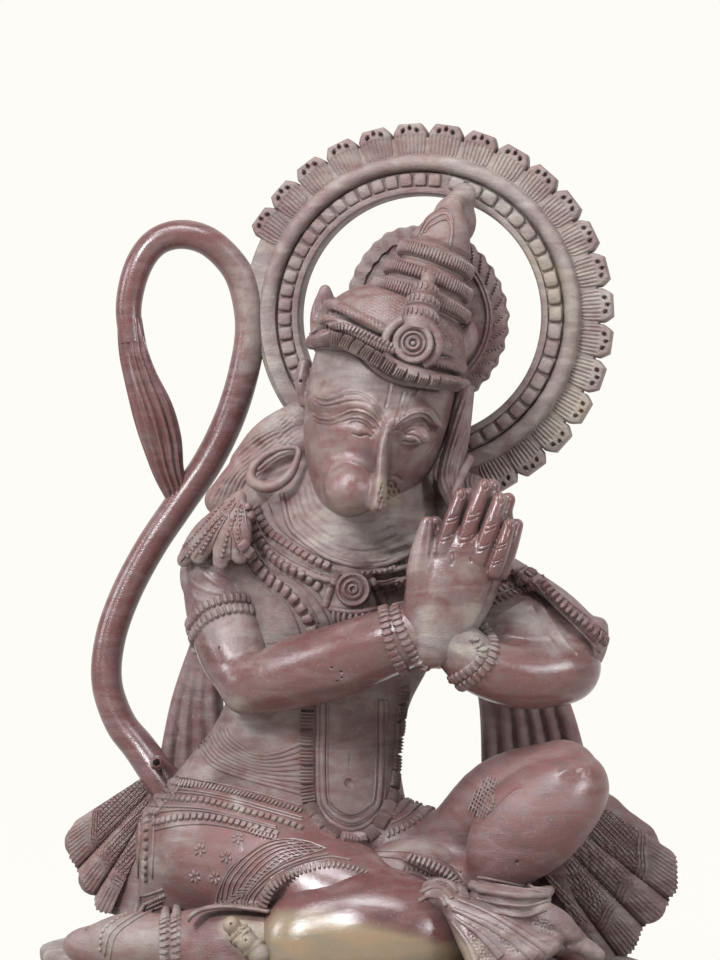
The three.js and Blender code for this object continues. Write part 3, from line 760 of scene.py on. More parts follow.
def between(one, other, count):
    """Paths in the picture that run evenly from one path to another."""
    one, other = np.asarray(one, float), np.asarray(other, float)
    return [one + (other - one) * t for t in np.linspace(0, 1, count)]


print("laying on ready")

# %% [markdown]
# The head is an egg that narrows to the chin and leans to one side. A keel runs from between the
# brows to the mouth, and a round muzzle stands out beside it. These are joined softly, so that
# the face stays one calm, polished surface.

# %% Head
head_clay = Clay((-34, -84, 224), (84, 46, 352), 0.9)
limb(head_clay, [(25, -2, 322), (22.5, -4, 306), (18, -8, 283), (11.5, -14, 263), (9, -25, 254)],
     [(34, 37.5), (36.2, 40.8), (33.5, 41), (22, 32), (12, 19)], soft=0)
ball(head_clay, (12, -43, 258), (13, 18, 12), soft=6)
MUZZLE = spot(351, 490, -57.5)
ball(head_clay, MUZZLE, (12.2, 13.5, 12.2), soft=1.2)
KEEL = [spot(389, 424, -47), spot(383, 448, -52), spot(381, 478, -60), spot(378, 505, -64)]
limb(head_clay, KEEL, [(2.2, 4), (2.4, 6), (2.8, 8), (4, 8)], soft=5)
LEFT_BROW = [spot(312, 402, -30), spot(345, 400, -42), spot(372, 408, -46)]
RIGHT_BROW = [spot(398, 420, -45), spot(422, 410, -40), spot(438, 424, -30)]
limb(head_clay, LEFT_BROW, [(2, 3), (3, 4), (2.4, 4)], soft=7)
limb(head_clay, RIGHT_BROW, [(2.4, 4), (3, 4), (2, 3)], soft=6)
ball(head_clay, spot(350, 430, -42), (10, 5, 5.4), turn=(0, 8, 0), soft=4)
ball(head_clay, spot(412, 434, -39), (9, 5, 5.2), turn=(0, 14, 0), soft=4)
limb(head_clay, [(-16, -4, 318), (-17, -5, 309), (-16, -6, 299)], [(3.2, 4), (3.8, 5), (2.6, 4)],
     soft=0.8)
head = shaped("head", head_clay)
print("head", len(head.data.polygons), "quads")

# %% [markdown]
# Brows and lids are drawn with fine ridges, the way a carver leaves a raised line by cutting on
# both sides of it. The chin has lost its skin: the break is rough and ochre, and stays.

# %% Face
BROW_RIDGES = [
    [(314, 395.5), (325, 399), (336, 397), (348, 393), (360, 393.6), (370, 399), (380, 409), (387, 421),
     (389, 428)],
    [(314, 399), (323, 404), (335, 402.7), (346, 399.7), (358, 399), (368, 401.5), (375, 408),
     (382, 418.5), (386, 428)],
    [(312, 413.6), (319, 418), (330, 419), (341, 415), (352, 410.6), (363, 412), (372.4, 417.3),
     (380, 426), (383, 434)],
    [(313, 418), (320, 422), (331, 423), (342, 420.3), (354, 417), (366, 420), (375, 428)],
    [(393, 430.6), (399, 422), (409, 415), (421, 412), (429, 415), (434, 423), (433.6, 438), (427, 451)],
    [(396, 430), (403, 423), (412, 418.5), (421, 416.5), (427, 420), (430, 428), (428.5, 440)],
    [(400, 431), (408, 425), (416, 422.5), (422, 424), (425.5, 431), (425, 440)],
    [(403, 433), (411, 428.5), (418, 429), (421.5, 435), (421, 443)],
]
EYE_LINES = [
    [(348, 424), (354, 422), (362, 424), (369, 429), (374, 436)],
    [(350.6, 433), (359, 435.8), (367, 435.4), (372, 438.5)],
    [(404, 436), (411, 435), (418, 438), (423, 444)], [(402, 441), (409, 443), (417, 442)],
]
TILAK = [[(390.6, 382), (388.2, 396.7), (385.2, 408.8)], [(404, 390.6), (399, 407.6), (394.8, 424.5)],
         [(418.5, 387), (410, 401.5), (404, 418.5)]]
NOSE_LINES = [
    [(390, 432), (390.5, 450), (389.5, 470), (389, 480)], [(391, 477), (397, 477), (403, 481.5)],
    [(388.5, 478), (387, 488)],
]
BALL_ARC = [(331, 471), (336, 464.5), (344.5, 462), (355.5, 464.5), (364, 470)]
BREAK = [(380, 484), (392, 480), (400, 486), (401, 498), (388, 510), (376, 514), (378, 498)]
LID_BULGES = [[(352, 429), (360, 431), (368, 433)], [(407, 439), (414, 440)]]
carving = Carving(head)
for line in BROW_RIDGES:
    carving.ridge(line, 0.55, 0.55)
    carving.groove([(u, v + 2.2) for u, v in line], 0.6, 0.4)
    carving.groove([(u, v - 2.0) for u, v in line], 0.5, 0.3)
for line in EYE_LINES:
    carving.groove(line, 0.55, 0.75)
for line in LID_BULGES:
    carving.ridge(line, 1.8, 0.9)
for line in TILAK:
    carving.groove(line, 0.6, 0.6)
    carving.ridge([(u + 2.4, v) for u, v in line], 0.5, 0.35)
for line in NOSE_LINES:
    carving.groove(line, 0.7, 0.9)
CROWN_EDGE = [(309, 352), (318, 347), (340, 347), (356, 354), (376, 372), (400, 384), (440, 390)]
carving.groove(BALL_ARC, 0.5, 0.5)
carving.groove(CROWN_EDGE, 0.8, 0.9)
carving.stipple(BREAK, 2.2, 1.2, seed=5)
carving.drill(388, 487, 0.9, 1.6)
carving.drill(301, 381, 0.8, 1.8)
carving.finish()
thinned(head, 80000)
print("face carved:", len(BROW_RIDGES), "brow and lid ridges")

# %% [markdown]
# The trunk, arms and hands are the same kind of clay: a soft torso, two rounded shoulders, arms
# that meet in front of the chest, and two flat hands pressed together. Hands need a finer grid.

# %% Trunk
trunk_clay = Clay((-94, -66, 62), (144, 66, 272), 1.5)
limb(trunk_clay, [(-14, 10, 78), (-14, 9, 112), (-14, 8, 134), (-8, 8, 168), (-2, 8, 198),
                  (3, 8, 220), (6, 8, 236)],
     [(50, 40), (44, 36), (43, 34), (46, 35), (54, 36), (56, 31), (34, 22)], soft=0)
limb(trunk_clay, [(4, -2, 208), (8, -3, 222), (12, -4, 240), (16, -4, 262)],
     [(42, 38), (37, 35), (31, 30), (27, 27)], soft=8)
ball(trunk_clay, (-57, 0, 214), (21.5, 22, 22), soft=14)
ball(trunk_clay, (66, 2, 208), (21, 22, 21), soft=14)
limb(trunk_clay, [(-40, 8, 138), (-58, 10, 118), (-76, 12, 100)], [(18, 26), (17, 26), (15, 26)], soft=8)
NECK_FOLDS = 7
for i in range(NECK_FOLDS):
    r = 41 - i * 2.1
    limb(trunk_clay, [(8 + i * 0.8 + r * math.cos(t), -4 + 0.93 * r * math.sin(t),
                       229 + i * 4.6 - 0.12 * r * math.cos(t) + 0.42 * r * math.sin(t))
                      for t in full_turn(12)[:, 0]],
         [(1.7, 2.0)], soft=1.6, closed=True)
limb(trunk_clay, [spot(353, 570, -36), spot(354, 592, -38), spot(355, 612, -39)], [(7, 6), (9, 6), (11, 6)],
     soft=1)
CAPE_ROOT = spot(240, 497, -22)
for u, v, depth, width in ((184, 560, -20, 7), (199, 556, -25, 8), (221, 561, -30, 8), (240, 556, -33, 8)):
    tip = spot(u, v, depth)
    middle = CAPE_ROOT + (tip - CAPE_ROOT) * 0.62 + [0, -3, 2]
    limb(trunk_clay, [CAPE_ROOT, middle, tip], [(3, 4), (width * 0.8, 4), (width * 0.55, 3)], soft=0.8)
for path, widths in (
        ([(66, 4, 204), (90, -4, 201), (112, -10, 191)], [(15, 16), (17, 20), (12, 20)]),
        ([(82, -10, 204), (102, -16, 194), (116, -18, 184)], [(12, 17), (13, 18), (10, 16)]),
        ([(84, -22, 222), (111, -27, 204), (129, -29, 187)], [(3.6, 16), (4.6, 18), (4.6, 17)]),
        ([(129, -24, 190), (129.5, -24, 182), (128.5, -24, 175)], [(5.2, 16), (4.6, 16), (3.2, 14)])):
    limb(trunk_clay, path, widths, soft=2)
trunk = shaped("trunk", trunk_clay)
print("trunk", len(trunk.data.polygons), "quads")

# %% [markdown]
# Each arm is a bent tube that swells at the forearm. On the real figure the arms are the most
# polished part, so little will be cut into them but a few folds and pits. Over the left elbow
# hangs a flat sleeve, joined softly to the arm.

# %% Arms
arms_clay = Clay((-88, -90, 138), (138, 32, 240), 1.4)
limb(arms_clay, [(-57, -2, 214), (-55, -7, 196), (-49, -18, 176), (-40, -30, 160.5)], [20, 19, 17, 12.5],
     soft=0)
limb(arms_clay, [(-40, -32, 160.5), (-18, -42, 167), (8, -53, 175), (32, -61, 184), (46, -63, 189)],
     [12.5, 17, 17.5, 16, 14], soft=5)
limb(arms_clay, [(72, 0, 206), (96, -8, 188), (112, -24, 174), (112, -36, 170), (94, -48, 168),
                 (74, -57, 174), (62, -62, 186)],
     [18, 17, 17, 17, 16, 14, 12], soft=0)
limb(arms_clay, [(66, -24, 200), (94, -27, 194), (115, -28, 182)], [(15, 15), (16, 15), (11, 14)], soft=7)
ball(arms_clay, spot(510, 634, -38), (24, 11, 17), soft=5)
arms = shaped("arms", arms_clay)
print("arms", len(arms.data.polygons), "quads")

# %% [markdown]
# The hands are pressed flat together, so only the back of one shows, with the other's outline
# behind it. Each hand is a flattened palm with four fingers and a thumb, placed by what is seen in
# the picture. They could be cut from one slab, but two hands a little apart give the right edge.

# %% Hands
hands_clay = Clay((24, -92, 162), (112, -40, 274), 0.8)
PALM = [((430, 648), 10), ((436, 622), 15.5), ((446, 594), 18.5), ((457, 568), 18.5), ((463, 556), 16)]
FINGERS = [
    ((443, 550), (452, 519), (461, 494), 3.7), ((462, 553), (473, 516), (484.5, 486), 4.1),
    ((480, 560), (491, 526), (500, 500), 4.2), ((494, 572), (503, 545), (509, 525), 3.6),
]
THUMB = [((419, 598), 6), ((419.5, 572), 6.2), ((423, 545), 5), ((427, 523), 3.4)]
ball(hands_clay, spot(477, 541, -62.5), (16, 6.5, 26), turn=(0, 20, 0), soft=0)
for shift, depth in ((0, -69.5), (8, -60)):
    limb(hands_clay, [spot(u + shift, v, depth + 2.4) for (u, v), _ in PALM],
         [(w, 9.8) for _, w in PALM], soft=1)
    ball(hands_clay, spot(430 + shift, 606, depth - 1.5), (11, 7, 20), turn=(0, 8, 0), soft=5)
    for root, middle, tip, girth in FINGERS:
        limb(hands_clay, [spot(u + shift, v, d) for (u, v), d in
                          ((root, depth - 2), (middle, depth - 2.6), (tip, depth - 1))],
             [(girth + 0.4, 5), (girth, 5), (girth * 0.86, 4.2)], soft=0.8)
    limb(hands_clay, [spot(u + shift, v, depth - 3) for (u, v), _ in THUMB], [(w, w) for _, w in THUMB],
         soft=2)
hands = shaped("hands", hands_clay)
print("hands", len(hands.data.polygons), "quads")

# %% [markdown]
# Hips, thighs and legs are large soft masses that run into one another, with one knee lying in
# front and one raised. Soft unions give the shallow valleys a rasp would leave between them. The
# front knee is a piece of its own, because it is the only part polished like glass.

# %% Lower body
lower_clay = Clay((-150, -100, 22), (150, 80, 150), 1.5)
ball(lower_clay, (-28, 10, 84), (70, 46, 32), soft=0)
ball(lower_clay, (-24, 18, 52), (78, 54, 40), soft=10)
ball(lower_clay, (-66, 12, 78), (36, 44, 36), soft=10)
limb(lower_clay, [(-56, -4, 78), (-30, -22, 70), (2, -38, 56), (26, -44, 48)],
     [34, 34, 33, 30], soft=10)
limb(lower_clay, [(0, -50, 38), (-30, -58, 36), (-52, -56, 37), (-76, -48, 38), (-96, -44, 37),
                  (-116, -38, 34)],
     [(20, 18), (21, 20), (20, 19), (14, 16), (15, 17), (10, 12)], soft=5)
ball(lower_clay, (-120, -38, 35), (10, 9, 7.5), soft=4)
ball(lower_clay, (-2, -58, 40), (24, 22, 24), soft=5)
limb(lower_clay, [(30, 0, 80), (56, -15, 83), (84, -33, 108), (113, -42, 118)],
     [(24, 26), (18, 23), (20, 22), (19, 20)], soft=8)
limb(lower_clay, [(122, -46, 119), (117, -50, 113), (101, -56, 99), (89, -57, 87), (85, -56, 79)],
     [(11, 11), (19, 18), (24, 21), (20, 19), (15, 16)], soft=0.6)
limb(lower_clay, [(84, -52, 72), (84, -50, 54)], [(13, 13), (13, 14)], soft=6)
limb(lower_clay, [(34, -34, 62), (56, -40, 66), (76, -40, 64)], [(14, 20), (16, 18), (14, 14)], soft=8)
limb(lower_clay, [(88, -50, 52), (104, -60, 50), (118, -64, 42), (126, -62, 34)],
     [(13, 13), (12, 12), (9, 10), (6, 8)], soft=3)
lower = shaped("lower_body", lower_clay)
print("lower", len(lower.data.polygons), "quads")

knee_clay = Clay((-42, -96, 24), (86, 0, 86), 2.0)
ball(knee_clay, (24, -50, 41), (50, 36, 36), soft=0)
ball(knee_clay, (-9, -57, 37), (25, 27, 28), soft=12)
knee = shaped("front_knee", knee_clay)

# %% [markdown]
# Small forms come up again and again: beads, ribs, blocks and tiles. One formula gives them all, a
# rounded box of few faces, whose power says how square it is. Petals and ribbed blocks have a
# carved face, so they are tablets whose height follows a formula.


# %% Stamps
def pebble(name, radii, across_=8, down=5, power=2.0, sink=0.0):
    """A rounded box of few faces, its middle sunk a little below the surface it sits on."""
    def bend(value):
        return math.copysign(abs(value) ** (2 / power), value)

    corners, faces = [], []
    for i in range(1, down):
        tilt = math.pi * i / down - math.pi / 2
        for k in range(across_):
            turn = 2 * math.pi * (k + 0.5) / across_
            corners.append((radii[0] * bend(math.cos(tilt)) * bend(math.cos(turn)),
                            radii[1] * bend(math.cos(tilt)) * bend(math.sin(turn)),
                            radii[2] * bend(math.sin(tilt)) - sink))
    low, high = len(corners), len(corners) + 1
    corners += [(0, 0, -radii[2] - sink), (0, 0, radii[2] - sink)]
    last = (down - 2) * across_
    for k in range(across_):
        m = (k + 1) % across_
        faces.append((low, m, k))
        faces.append((high, last + k, last + m))
        for i in range(down - 2):
            a = i * across_
            faces.append((a + k, a + m, a + across_ + m, a + across_ + k))
    return stamp_object(name, corners, faces)


def tablet(name, half_width, length, height, columns, lines, thickness, drop=0.0):
    """A tablet: half_width(t) gives its outline and height(s, t) its face, s from -1 to 1."""
    s, t = np.meshgrid(np.linspace(-1, 1, columns), np.linspace(0, 1, lines))
    face = np.stack([s * half_width(t), t * length - drop, height(s, t)], -1).reshape(-1, 3)
    index = np.arange(columns * lines).reshape(lines, columns)
    quads = np.stack([index[:-1, :-1], index[:-1, 1:], index[1:, 1:], index[1:, :-1]], -1)
    rim = np.concatenate([index[0], index[1:, -1], index[-1, -2::-1], index[-2:0:-1, 0]])
    base = face[rim] * [1, 1, 0] - [0, 0, thickness]
    foot = np.arange(len(rim)) + len(face)
    walls = np.stack([np.roll(rim, -1), rim, foot, np.roll(foot, -1)], 1)
    faces = quads.reshape(-1, 4).tolist() + walls.tolist() + [foot[::-1].tolist()]
    return stamp_object(name, np.concatenate([face, base]), faces)


def ribbed_block(name, half_length, across_, ribs, rise):
    """A block cut across into ribs, its middle on the path."""
    def height(s, t):
        cut = 0.45 + 0.55 * np.abs(np.sin(np.pi * ribs * (s + 1) / 2))
        return rise * (cut * (1 - 0.5 * np.abs(2 * t - 1) ** 3) * (1 - 0.3 * s ** 6)) - 0.3

    return tablet(name, lambda t: half_length + 0 * t, across_, height, 2 * ribs + 1, 4, 2.2,
                  across_ / 2)


BEAD = pebble("bead", (1.3, 1.3, 1.2), 8, 5)
SEED = pebble("seed", (0.8, 1.0, 0.9), 6, 4)
RIB = pebble("rib", (0.62, 2.1, 1.0), 6, 4, 3)
TILE = pebble("tile", (3.85, 3.4, 2.6), 12, 7, 5, 0.5)
NARROW_TILE = pebble("narrow_tile", (3.1, 3.4, 2.6), 12, 7, 5, 0.5)
print(len(stamps), "stamps")

# %% [markdown]
# The halo is a ring of stone behind the head. From the hole outwards it has a plain ledge, a row
# of cushion tiles, a smooth rounded ridge and a rim of fluted petals with three drilled holes
# each. The plain mouldings are a section spun round the middle. Tiles and petals are rows.

# %% Halo
HALO_MIDDLE = np.array([35.5, 0.0, 343.4])
HALO_INNER, HALO_OUTER = 61.0, 96.7
HALO_FRONT, HALO_BACK = 42.0, 61.6
PETALS_PER_TURN = 32
FIRST_PETAL, LAST_PETAL = -70.0, 155.0
LAST_TILE = 206.0
PETAL_LENGTH = 16.6
FLUTES = 8


def round_halo(degrees, radius, depth):
    """Points on the halo at angles counted from the viewer's right, upwards."""
    a = np.radians(np.asarray(degrees, float))
    return HALO_MIDDLE + np.stack([radius * np.cos(a), depth + 0 * a, radius * np.sin(a)], -1)


def forwards(points):
    """The direction to the front, once for each point."""
    return np.tile([0.0, -1.0, 0.0], (len(points), 1))


def outward(piece):
    """Turns a closed mesh the right way round, by the sign of its volume."""
    tally = bmesh.new()
    tally.from_mesh(piece.data)
    if tally.calc_volume(signed=True) < 0:
        bmesh.ops.reverse_faces(tally, faces=tally.faces)
        tally.to_mesh(piece.data)
    tally.free()
    return piece


def spun(name, sections, closed=True):
    """A closed skin over rings of corners, right side out."""
    return outward(ringed(name, sections, closed))


def halo_section(degrees):
    """Radius and depth pairs; ridge and rim fade where the tail and shoulders cover them."""
    fade = np.clip((degrees - 166) / 14, 0, 1) * np.clip((286 - degrees) / 4, 0, 1)
    tiled = degrees < LAST_TILE + 2
    bed = HALO_FRONT + (2.6 if tiled else 1.0)
    pairs = [(HALO_INNER, HALO_BACK), (HALO_INNER, 50), (HALO_INNER + 0.1, 44.4),
             (HALO_INNER + 0.8, 43.3), (HALO_INNER + 2, 43), (HALO_INNER + 3.4, 43.1),
             (HALO_INNER + 3.9, bed), (HALO_INNER + 10.7, bed), (HALO_INNER + 11.3, bed + 1.4),
             (HALO_INNER + 12, 43.6)]
    for i in range(7):
        t = math.pi * (0.5 + i) / 7
        swell = (1 - 0.8 * fade) * math.sin(t)
        pairs.append((HALO_INNER + 15.7 - 3.8 * math.cos(t), 43.2 - 3.3 * swell))
    rim = 90 - 7 * fade
    pairs += [(HALO_INNER + 19.8, 44.6), (HALO_INNER + 20.4, 46.4), (rim - 0.6, 47),
              (rim, 48), (rim, 60), (rim - 1, HALO_BACK)]
    return [round_halo(degrees, r, d) for r, d in pairs]


def petal_outline(t):
    side = 7.4 + 1.6 * t
    foot = 0.9 * np.clip(1 - t / 0.14, 0, 1) ** 0.6
    shoulder = 3.4 * np.clip((t - 0.7) / 0.3, 0, 1) ** 1.25
    return side - foot - shoulder


def petal_face(s, t):
    edge = np.clip(np.minimum((1 - np.abs(s)) * 8, (1 - t) * PETAL_LENGTH) / 1.5, 0, 1)
    dome = 2.0 * np.sqrt(edge * (2 - edge)) + 0.5 * (1 - s ** 2) - 0.5
    end = np.clip((0.68 - 0.05 * s ** 2 - t) / 0.05, 0, 1)
    flute = (0.5 + 0.5 * np.cos(math.pi * FLUTES * (s + 1))) ** 0.7
    dome -= 0.75 * flute * end * np.clip((1 - np.abs(s)) * 6, 0, 1)
    for hole_s, hole_t in ((-0.44, 0.78), (0.0, 0.86), (0.44, 0.78)):
        away = np.hypot((s - hole_s) * 8.2, (t - hole_t) * PETAL_LENGTH)
        dome -= 2.6 * np.clip((1.25 - away) / 0.45, 0, 1)
    return dome


PETAL = tablet("petal", petal_outline, PETAL_LENGTH, petal_face, 41, 27, 13)
halo_parts = [spun("halo", [halo_section(a) for a in np.arange(-74, 286, 1.5)])]
half_petal = 180 / PETALS_PER_TURN
petal_angles = np.arange(LAST_PETAL - half_petal, FIRST_PETAL, -2 * half_petal)
petal_foot = round_halo(petal_angles, HALO_OUTER - PETAL_LENGTH, 47.4)
halo_parts.append(row("petals", petal_foot, forwards(petal_foot), PETAL, count=len(petal_foot)))
for stamp, first, last, pitch in ((TILE, -66, 76, 8.6), (NARROW_TILE, 83.6, LAST_TILE, 7.1)):
    way = round_halo(np.arange(first, last, 2), HALO_INNER + 7.3, HALO_FRONT + 2.6)
    halo_parts.append(row("tiles", way, forwards(way), stamp, pitch))
halo = joined("halo", halo_parts)
print("halo with", len(petal_angles), "petals,", len(halo.data.polygons), "faces")

# %% [markdown]
# The tail rises from the seat, swings out in two bows and ends in a tassel of hair that hangs
# inside the upper loop. It is a round cord of stone on a smooth path; the tassel has deep flutes.

# %% Tail
TAIL_PATH = [
    (-76, 14, 96), (-84, 19, 102), (-92, 22, 112), (-103.7, 27, 126.6), (-114.3, 30, 139.4),
    (-121.5, 33, 158.8), (-120.5, 36, 180.3), (-113.2, 39, 203), (-100.8, 42, 227.2), (-85.8, 45, 249.9),
    (-71.8, 48, 271.1), (-60.6, 50, 295.3), (-53.4, 50, 320.4), (-51.2, 50, 340.5), (-54.8, 49, 360.1),
    (-61.6, 47, 372.2), (-72.7, 44, 381.9), (-86.1, 42, 384.9), (-98.5, 40, 380.3), (-106.9, 38, 367.7),
    (-111.1, 37, 349), (-109.6, 36, 330),
]
TAIL_RADIUS = [
    8, 9, 9, 8.4, 8, 7.8, 7.8, 7.8, 7.8, 7.8, 7.8, 7.8, 7.8, 7.8, 7.6, 7.4, 7.4, 7.4, 7.2, 7, 6.6, 6.2,
]
TASSEL_PATH = [
    (-110.6, 36, 342), (-108.6, 36, 326), (-104.6, 36, 312), (-98.8, 37, 296), (-94.6, 39, 281),
    (-91.6, 41, 266), (-87.4, 44, 253),
]
TASSEL_WIDTH = [6.4, 7.4, 8.6, 10.6, 10.4, 8.2, 6.2]
TASSEL_FLUTES = 13


def fluted_section(radius, depth, turn):
    ring = []
    for t in full_turn(78)[:, 0]:
        swell = radius * (1 - depth * (0.5 + 0.5 * math.cos(TASSEL_FLUTES * t + turn)) ** 1.5)
        ring.append((swell * math.cos(t), 0.85 * swell * math.sin(t)))
    return ring


def swept(name, path, radii, section_at):
    """A cord whose section may change along its path."""
    run = smooth_path([list(p) + [r] for p, r in zip(path, radii)])
    ahead = unit(np.gradient(run[:, :3], axis=0))
    out = unit(np.array([0, -1.0, 0]) - ahead * (ahead @ [0, -1.0, 0])[:, None])
    aside = np.cross(ahead, out)
    sections = []
    for i, spot_ in enumerate(run):
        ring = np.array(section_at(spot_[3], i / (len(run) - 1)))
        sections.append(spot_[:3] + aside[i] * ring[:, :1] + out[i] * ring[:, 1:])
    return spun(name, sections, closed=False)


KNOB = [(6, 18), (7.6, 4), (7.6, -2), (6.4, -6), (4.4, -7.6), (3.2, -6.6), (2.4, -3.4), (0.3, -2.8)]
knob_turns = np.radians(np.arange(0, 360, 15))
knob_sections = [[spot(157 + r * math.cos(a), 763 + r * math.sin(a), d) for a in knob_turns]
                 for r, d in KNOB]
tail = joined("tail", [
    swept("tail", TAIL_PATH, TAIL_RADIUS, lambda r, t: round_section(r, r, 24)),
    swept("tassel", TASSEL_PATH, TASSEL_WIDTH, lambda r, t: fluted_section(
        r, 0.24 * min(1, t * 5), 2.2 * t)),
    spun("knob", knob_sections, closed=False),
])
print("tail", len(tail.data.polygons), "faces")

# %% [markdown]
# The crown starts as a dome with bands round its foot. Turban rolls with a cone above them and a
# tiered spike stand on it, leaning the way the head leans. Rolls are a profile spun round the
# axis, and the ribs on them are rows, because a rib is the same cut made a hundred times.

# %% Crown
CROWN_FOOT = np.array([38.0, -4.0, 340.0])
CROWN_LEAN = unit(np.array([0.33, 0.13, 0.93]))
ROLL_HEIGHTS = (9.0, 19.5, 30.5)
ROLL_RADII = (25.4, 22.6, 19.4)
ROLL_HALF = (3.6, 3.0, 3.4)


def about(axis):
    """Two directions square to an axis, the second towards the viewer."""
    near = unit(np.array([0, -1.0, 0]) - axis * (axis @ [0, -1.0, 0]))
    return np.cross(near, axis), near


def turned(name, foot, axis, profile, steps=72):
    """Radius and height pairs spun about a leaning axis; both ends of the profile are on it."""
    aside, near = about(axis)
    t = full_turn(steps)
    spokes = aside * np.cos(t) + near * np.sin(t)
    return spun(name, [foot + axis * h + r * spokes for r, h in profile], closed=False)


def turned_ring(foot, axis, radius, height):
    """A circle about a leaning axis, with its outward directions."""
    aside, near = about(axis)
    t = full_turn(72)
    out = aside * np.cos(t) + near * np.sin(t)
    return foot + axis * height + out * radius, out


roll_profile = [(6, -12), (27, -8), (27, -2), (23.5, 2), (21, 4)]
for h, r, half in zip(ROLL_HEIGHTS, ROLL_RADII, ROLL_HALF):
    roll_profile += [(r - 3.4, h - half - 1.4), (r - 3.2, h - half - 0.2)]
    roll_profile += [(r - half * (1 - math.cos(a)) * 0.6, h + half * math.sin(a))
                     for a in np.radians([-80, -50, -20, 0, 20, 50, 80])]
    roll_profile += [(r - 3.4, h + half + 0.6), (r - 4.4, h + half + 2)]
roll_profile += [(15.5, 37), (16, 38.5), (15, 40), (13, 45), (9.6, 51), (5.4, 57), (1.2, 62), (0.3, 62.6)]
crown_parts = [turned("turban", CROWN_FOOT, CROWN_LEAN, roll_profile)]
roll_rib = pebble("roll_rib", (0.62, 3.2, 1.1), 6, 5, 2.6)
for h, r, half in zip(ROLL_HEIGHTS, ROLL_RADII, ROLL_HALF):
    ring, out = turned_ring(CROWN_FOOT, CROWN_LEAN, r - 0.35, h)
    crown_parts.append(row("roll_ribs", ring, out, roll_rib, pitch=1.62, closed=True))
for leaf in (1.0, 0.66, 0.36):
    line = [(417 + 12 * (1 - leaf), 236 - 4 * (1 - leaf)), (430, 233 - 18 * leaf), (446, 226 - 18 * leaf),
            (452, 236 - 14 * leaf), (450, 246)]
    crown_parts.append(laid("cone_leaf", Stone(crown_parts[0]), line, 0.7, 0.9))
turban = joined("turban", crown_parts)

cap_clay = Clay((-34, -64, 282), (82, 52, 368), 0.9)
ball(cap_clay, (26.5, -3, 327), (37.5, 40, 30), turn=(0, 15, 0), soft=0)
LOW_BAND = [
    (-7.5, -8, 329), (1, -39, 330.5), (25, -51, 319), (50, -44, 311), (62, -12, 308), (56, 24, 310),
    (22, 36, 320), (-1, 22, 328),
]
limb(cap_clay, LOW_BAND, [(3.0, 3.6)], soft=2, closed=True)
limb(cap_clay, [(x * 0.97 + 1, y * 0.975, z + 7.4) for x, y, z in LOW_BAND], [(2.6, 3.2)], soft=2,
     closed=True)
limb(cap_clay, [(x * 0.91 + 3, y * 0.9, z + 15) for x, y, z in LOW_BAND], [(2.6, 3.2)], soft=4,
     closed=True)
limb(cap_clay, [(-6, -2, 329), (-6.4, -1, 342), (-6, -3, 354)], [(7.2, 5), (7.2, 4.5), (3.0, 2.4)],
     soft=1.5)
limb(cap_clay, [(59, -2, 322), (64, -2, 330), (66, -1, 337)], [(5, 5), (5.2, 4.5), (1.8, 2)], soft=1)
cap = shaped("crown", cap_clay)
DOME_GRAIN = [
    (323, 315), (336, 300), (360, 292), (383, 290), (404, 300), (404, 322), (380, 322), (366, 316),
    (345, 309),
]
SIDE_GRAIN = [(437, 312), (447, 322), (458, 346), (462, 356), (442, 350), (436, 334)]
BAND_LINES = [
    [(313, 332), (326, 323), (344, 321), (360, 326), (380, 336), (394, 342)],
    [(311, 345), (324, 335), (338, 333), (353, 338), (369, 349), (383, 357), (398, 363)],
    [(437, 357), (450, 358), (462, 365)], [(436, 371), (448, 373), (460, 380)],
]
RED_BAND = [(317, 319), (332, 312), (349, 314), (363, 318), (380, 326)]
RIB_BANDS = [
    [(312, 342), (319, 333), (334, 328), (349, 331), (363, 338), (380, 346), (392, 351)],
    [(436, 364), (448, 365), (461, 371)],
]
BAND_ENDS = [[(309, 341), (318, 337), (330, 337), (343, 342)], [(441, 384), (450, 384), (461, 381)]]
carving = Carving(cap)
carving.stipple(DOME_GRAIN, 1.5, 0.35)
carving.stipple(SIDE_GRAIN, 1.8, 0.8, seed=3)
for line in BAND_LINES:
    carving.groove(line, 0.6, 0.9)
carving.cord(RED_BAND, 2.4, 0.6, 1.9, share=0.9, slant=0.5)
for line in RIB_BANDS:
    carving.cord(line, 2.2, 0.7, 1.5, share=1.0)
for line in BAND_ENDS:
    carving.cord(line, 2.6, 0.9, 2.0, share=1.0)
carving.strands([(319, 292), (318, 320)], 4, 2.0, 0.6)
carving.finish()
thinned(cap, 50000)
crown_tree = Stone(cap)

BLOCK = ribbed_block("crown_block", 2.45, 6.4, 4, 2.9)
BLOCK_PATH = [
    (312, 342), (326, 339), (340, 340), (356, 347), (372, 356), (388, 365), (402, 372), (416, 377),
    (430, 380), (443, 382), (455, 384),
]

band_parts = [set_row("blocks", crown_tree, BLOCK_PATH, BLOCK, 6.1, 0.9)]
UPPER_BAND = [(311, 336), (320, 328), (336, 326), (352, 329), (368, 336), (384, 343), (395, 347)]
band_parts.append(set_row("upper_band", crown_tree, UPPER_BAND, RIB, 2.0, 0.4))
MEDALLION = np.array([42.6, -50.5, 326.3])
MEDALLION_AXIS = unit(np.array([0.10, -0.98, 0.10]))
medal = [
    (0.2, -8), (9.6, -8), (9.9, 0.6), (9.3, 2.0), (8.2, 2.2), (7.2, 1.8), (6.6, 0.2), (6.2, 0.2),
    (5.7, 1.3), (5.0, 1.4), (4.5, 0.4), (4.1, -0.2), (3.7, 1.0), (3.0, 2.0), (2.2, 1.6), (1.7, 0.0),
    (1.3, 0.0), (1.0, 1.2), (0.2, 1.5),
]
band_parts.append(turned("medallion", MEDALLION, MEDALLION_AXIS, medal, 64))
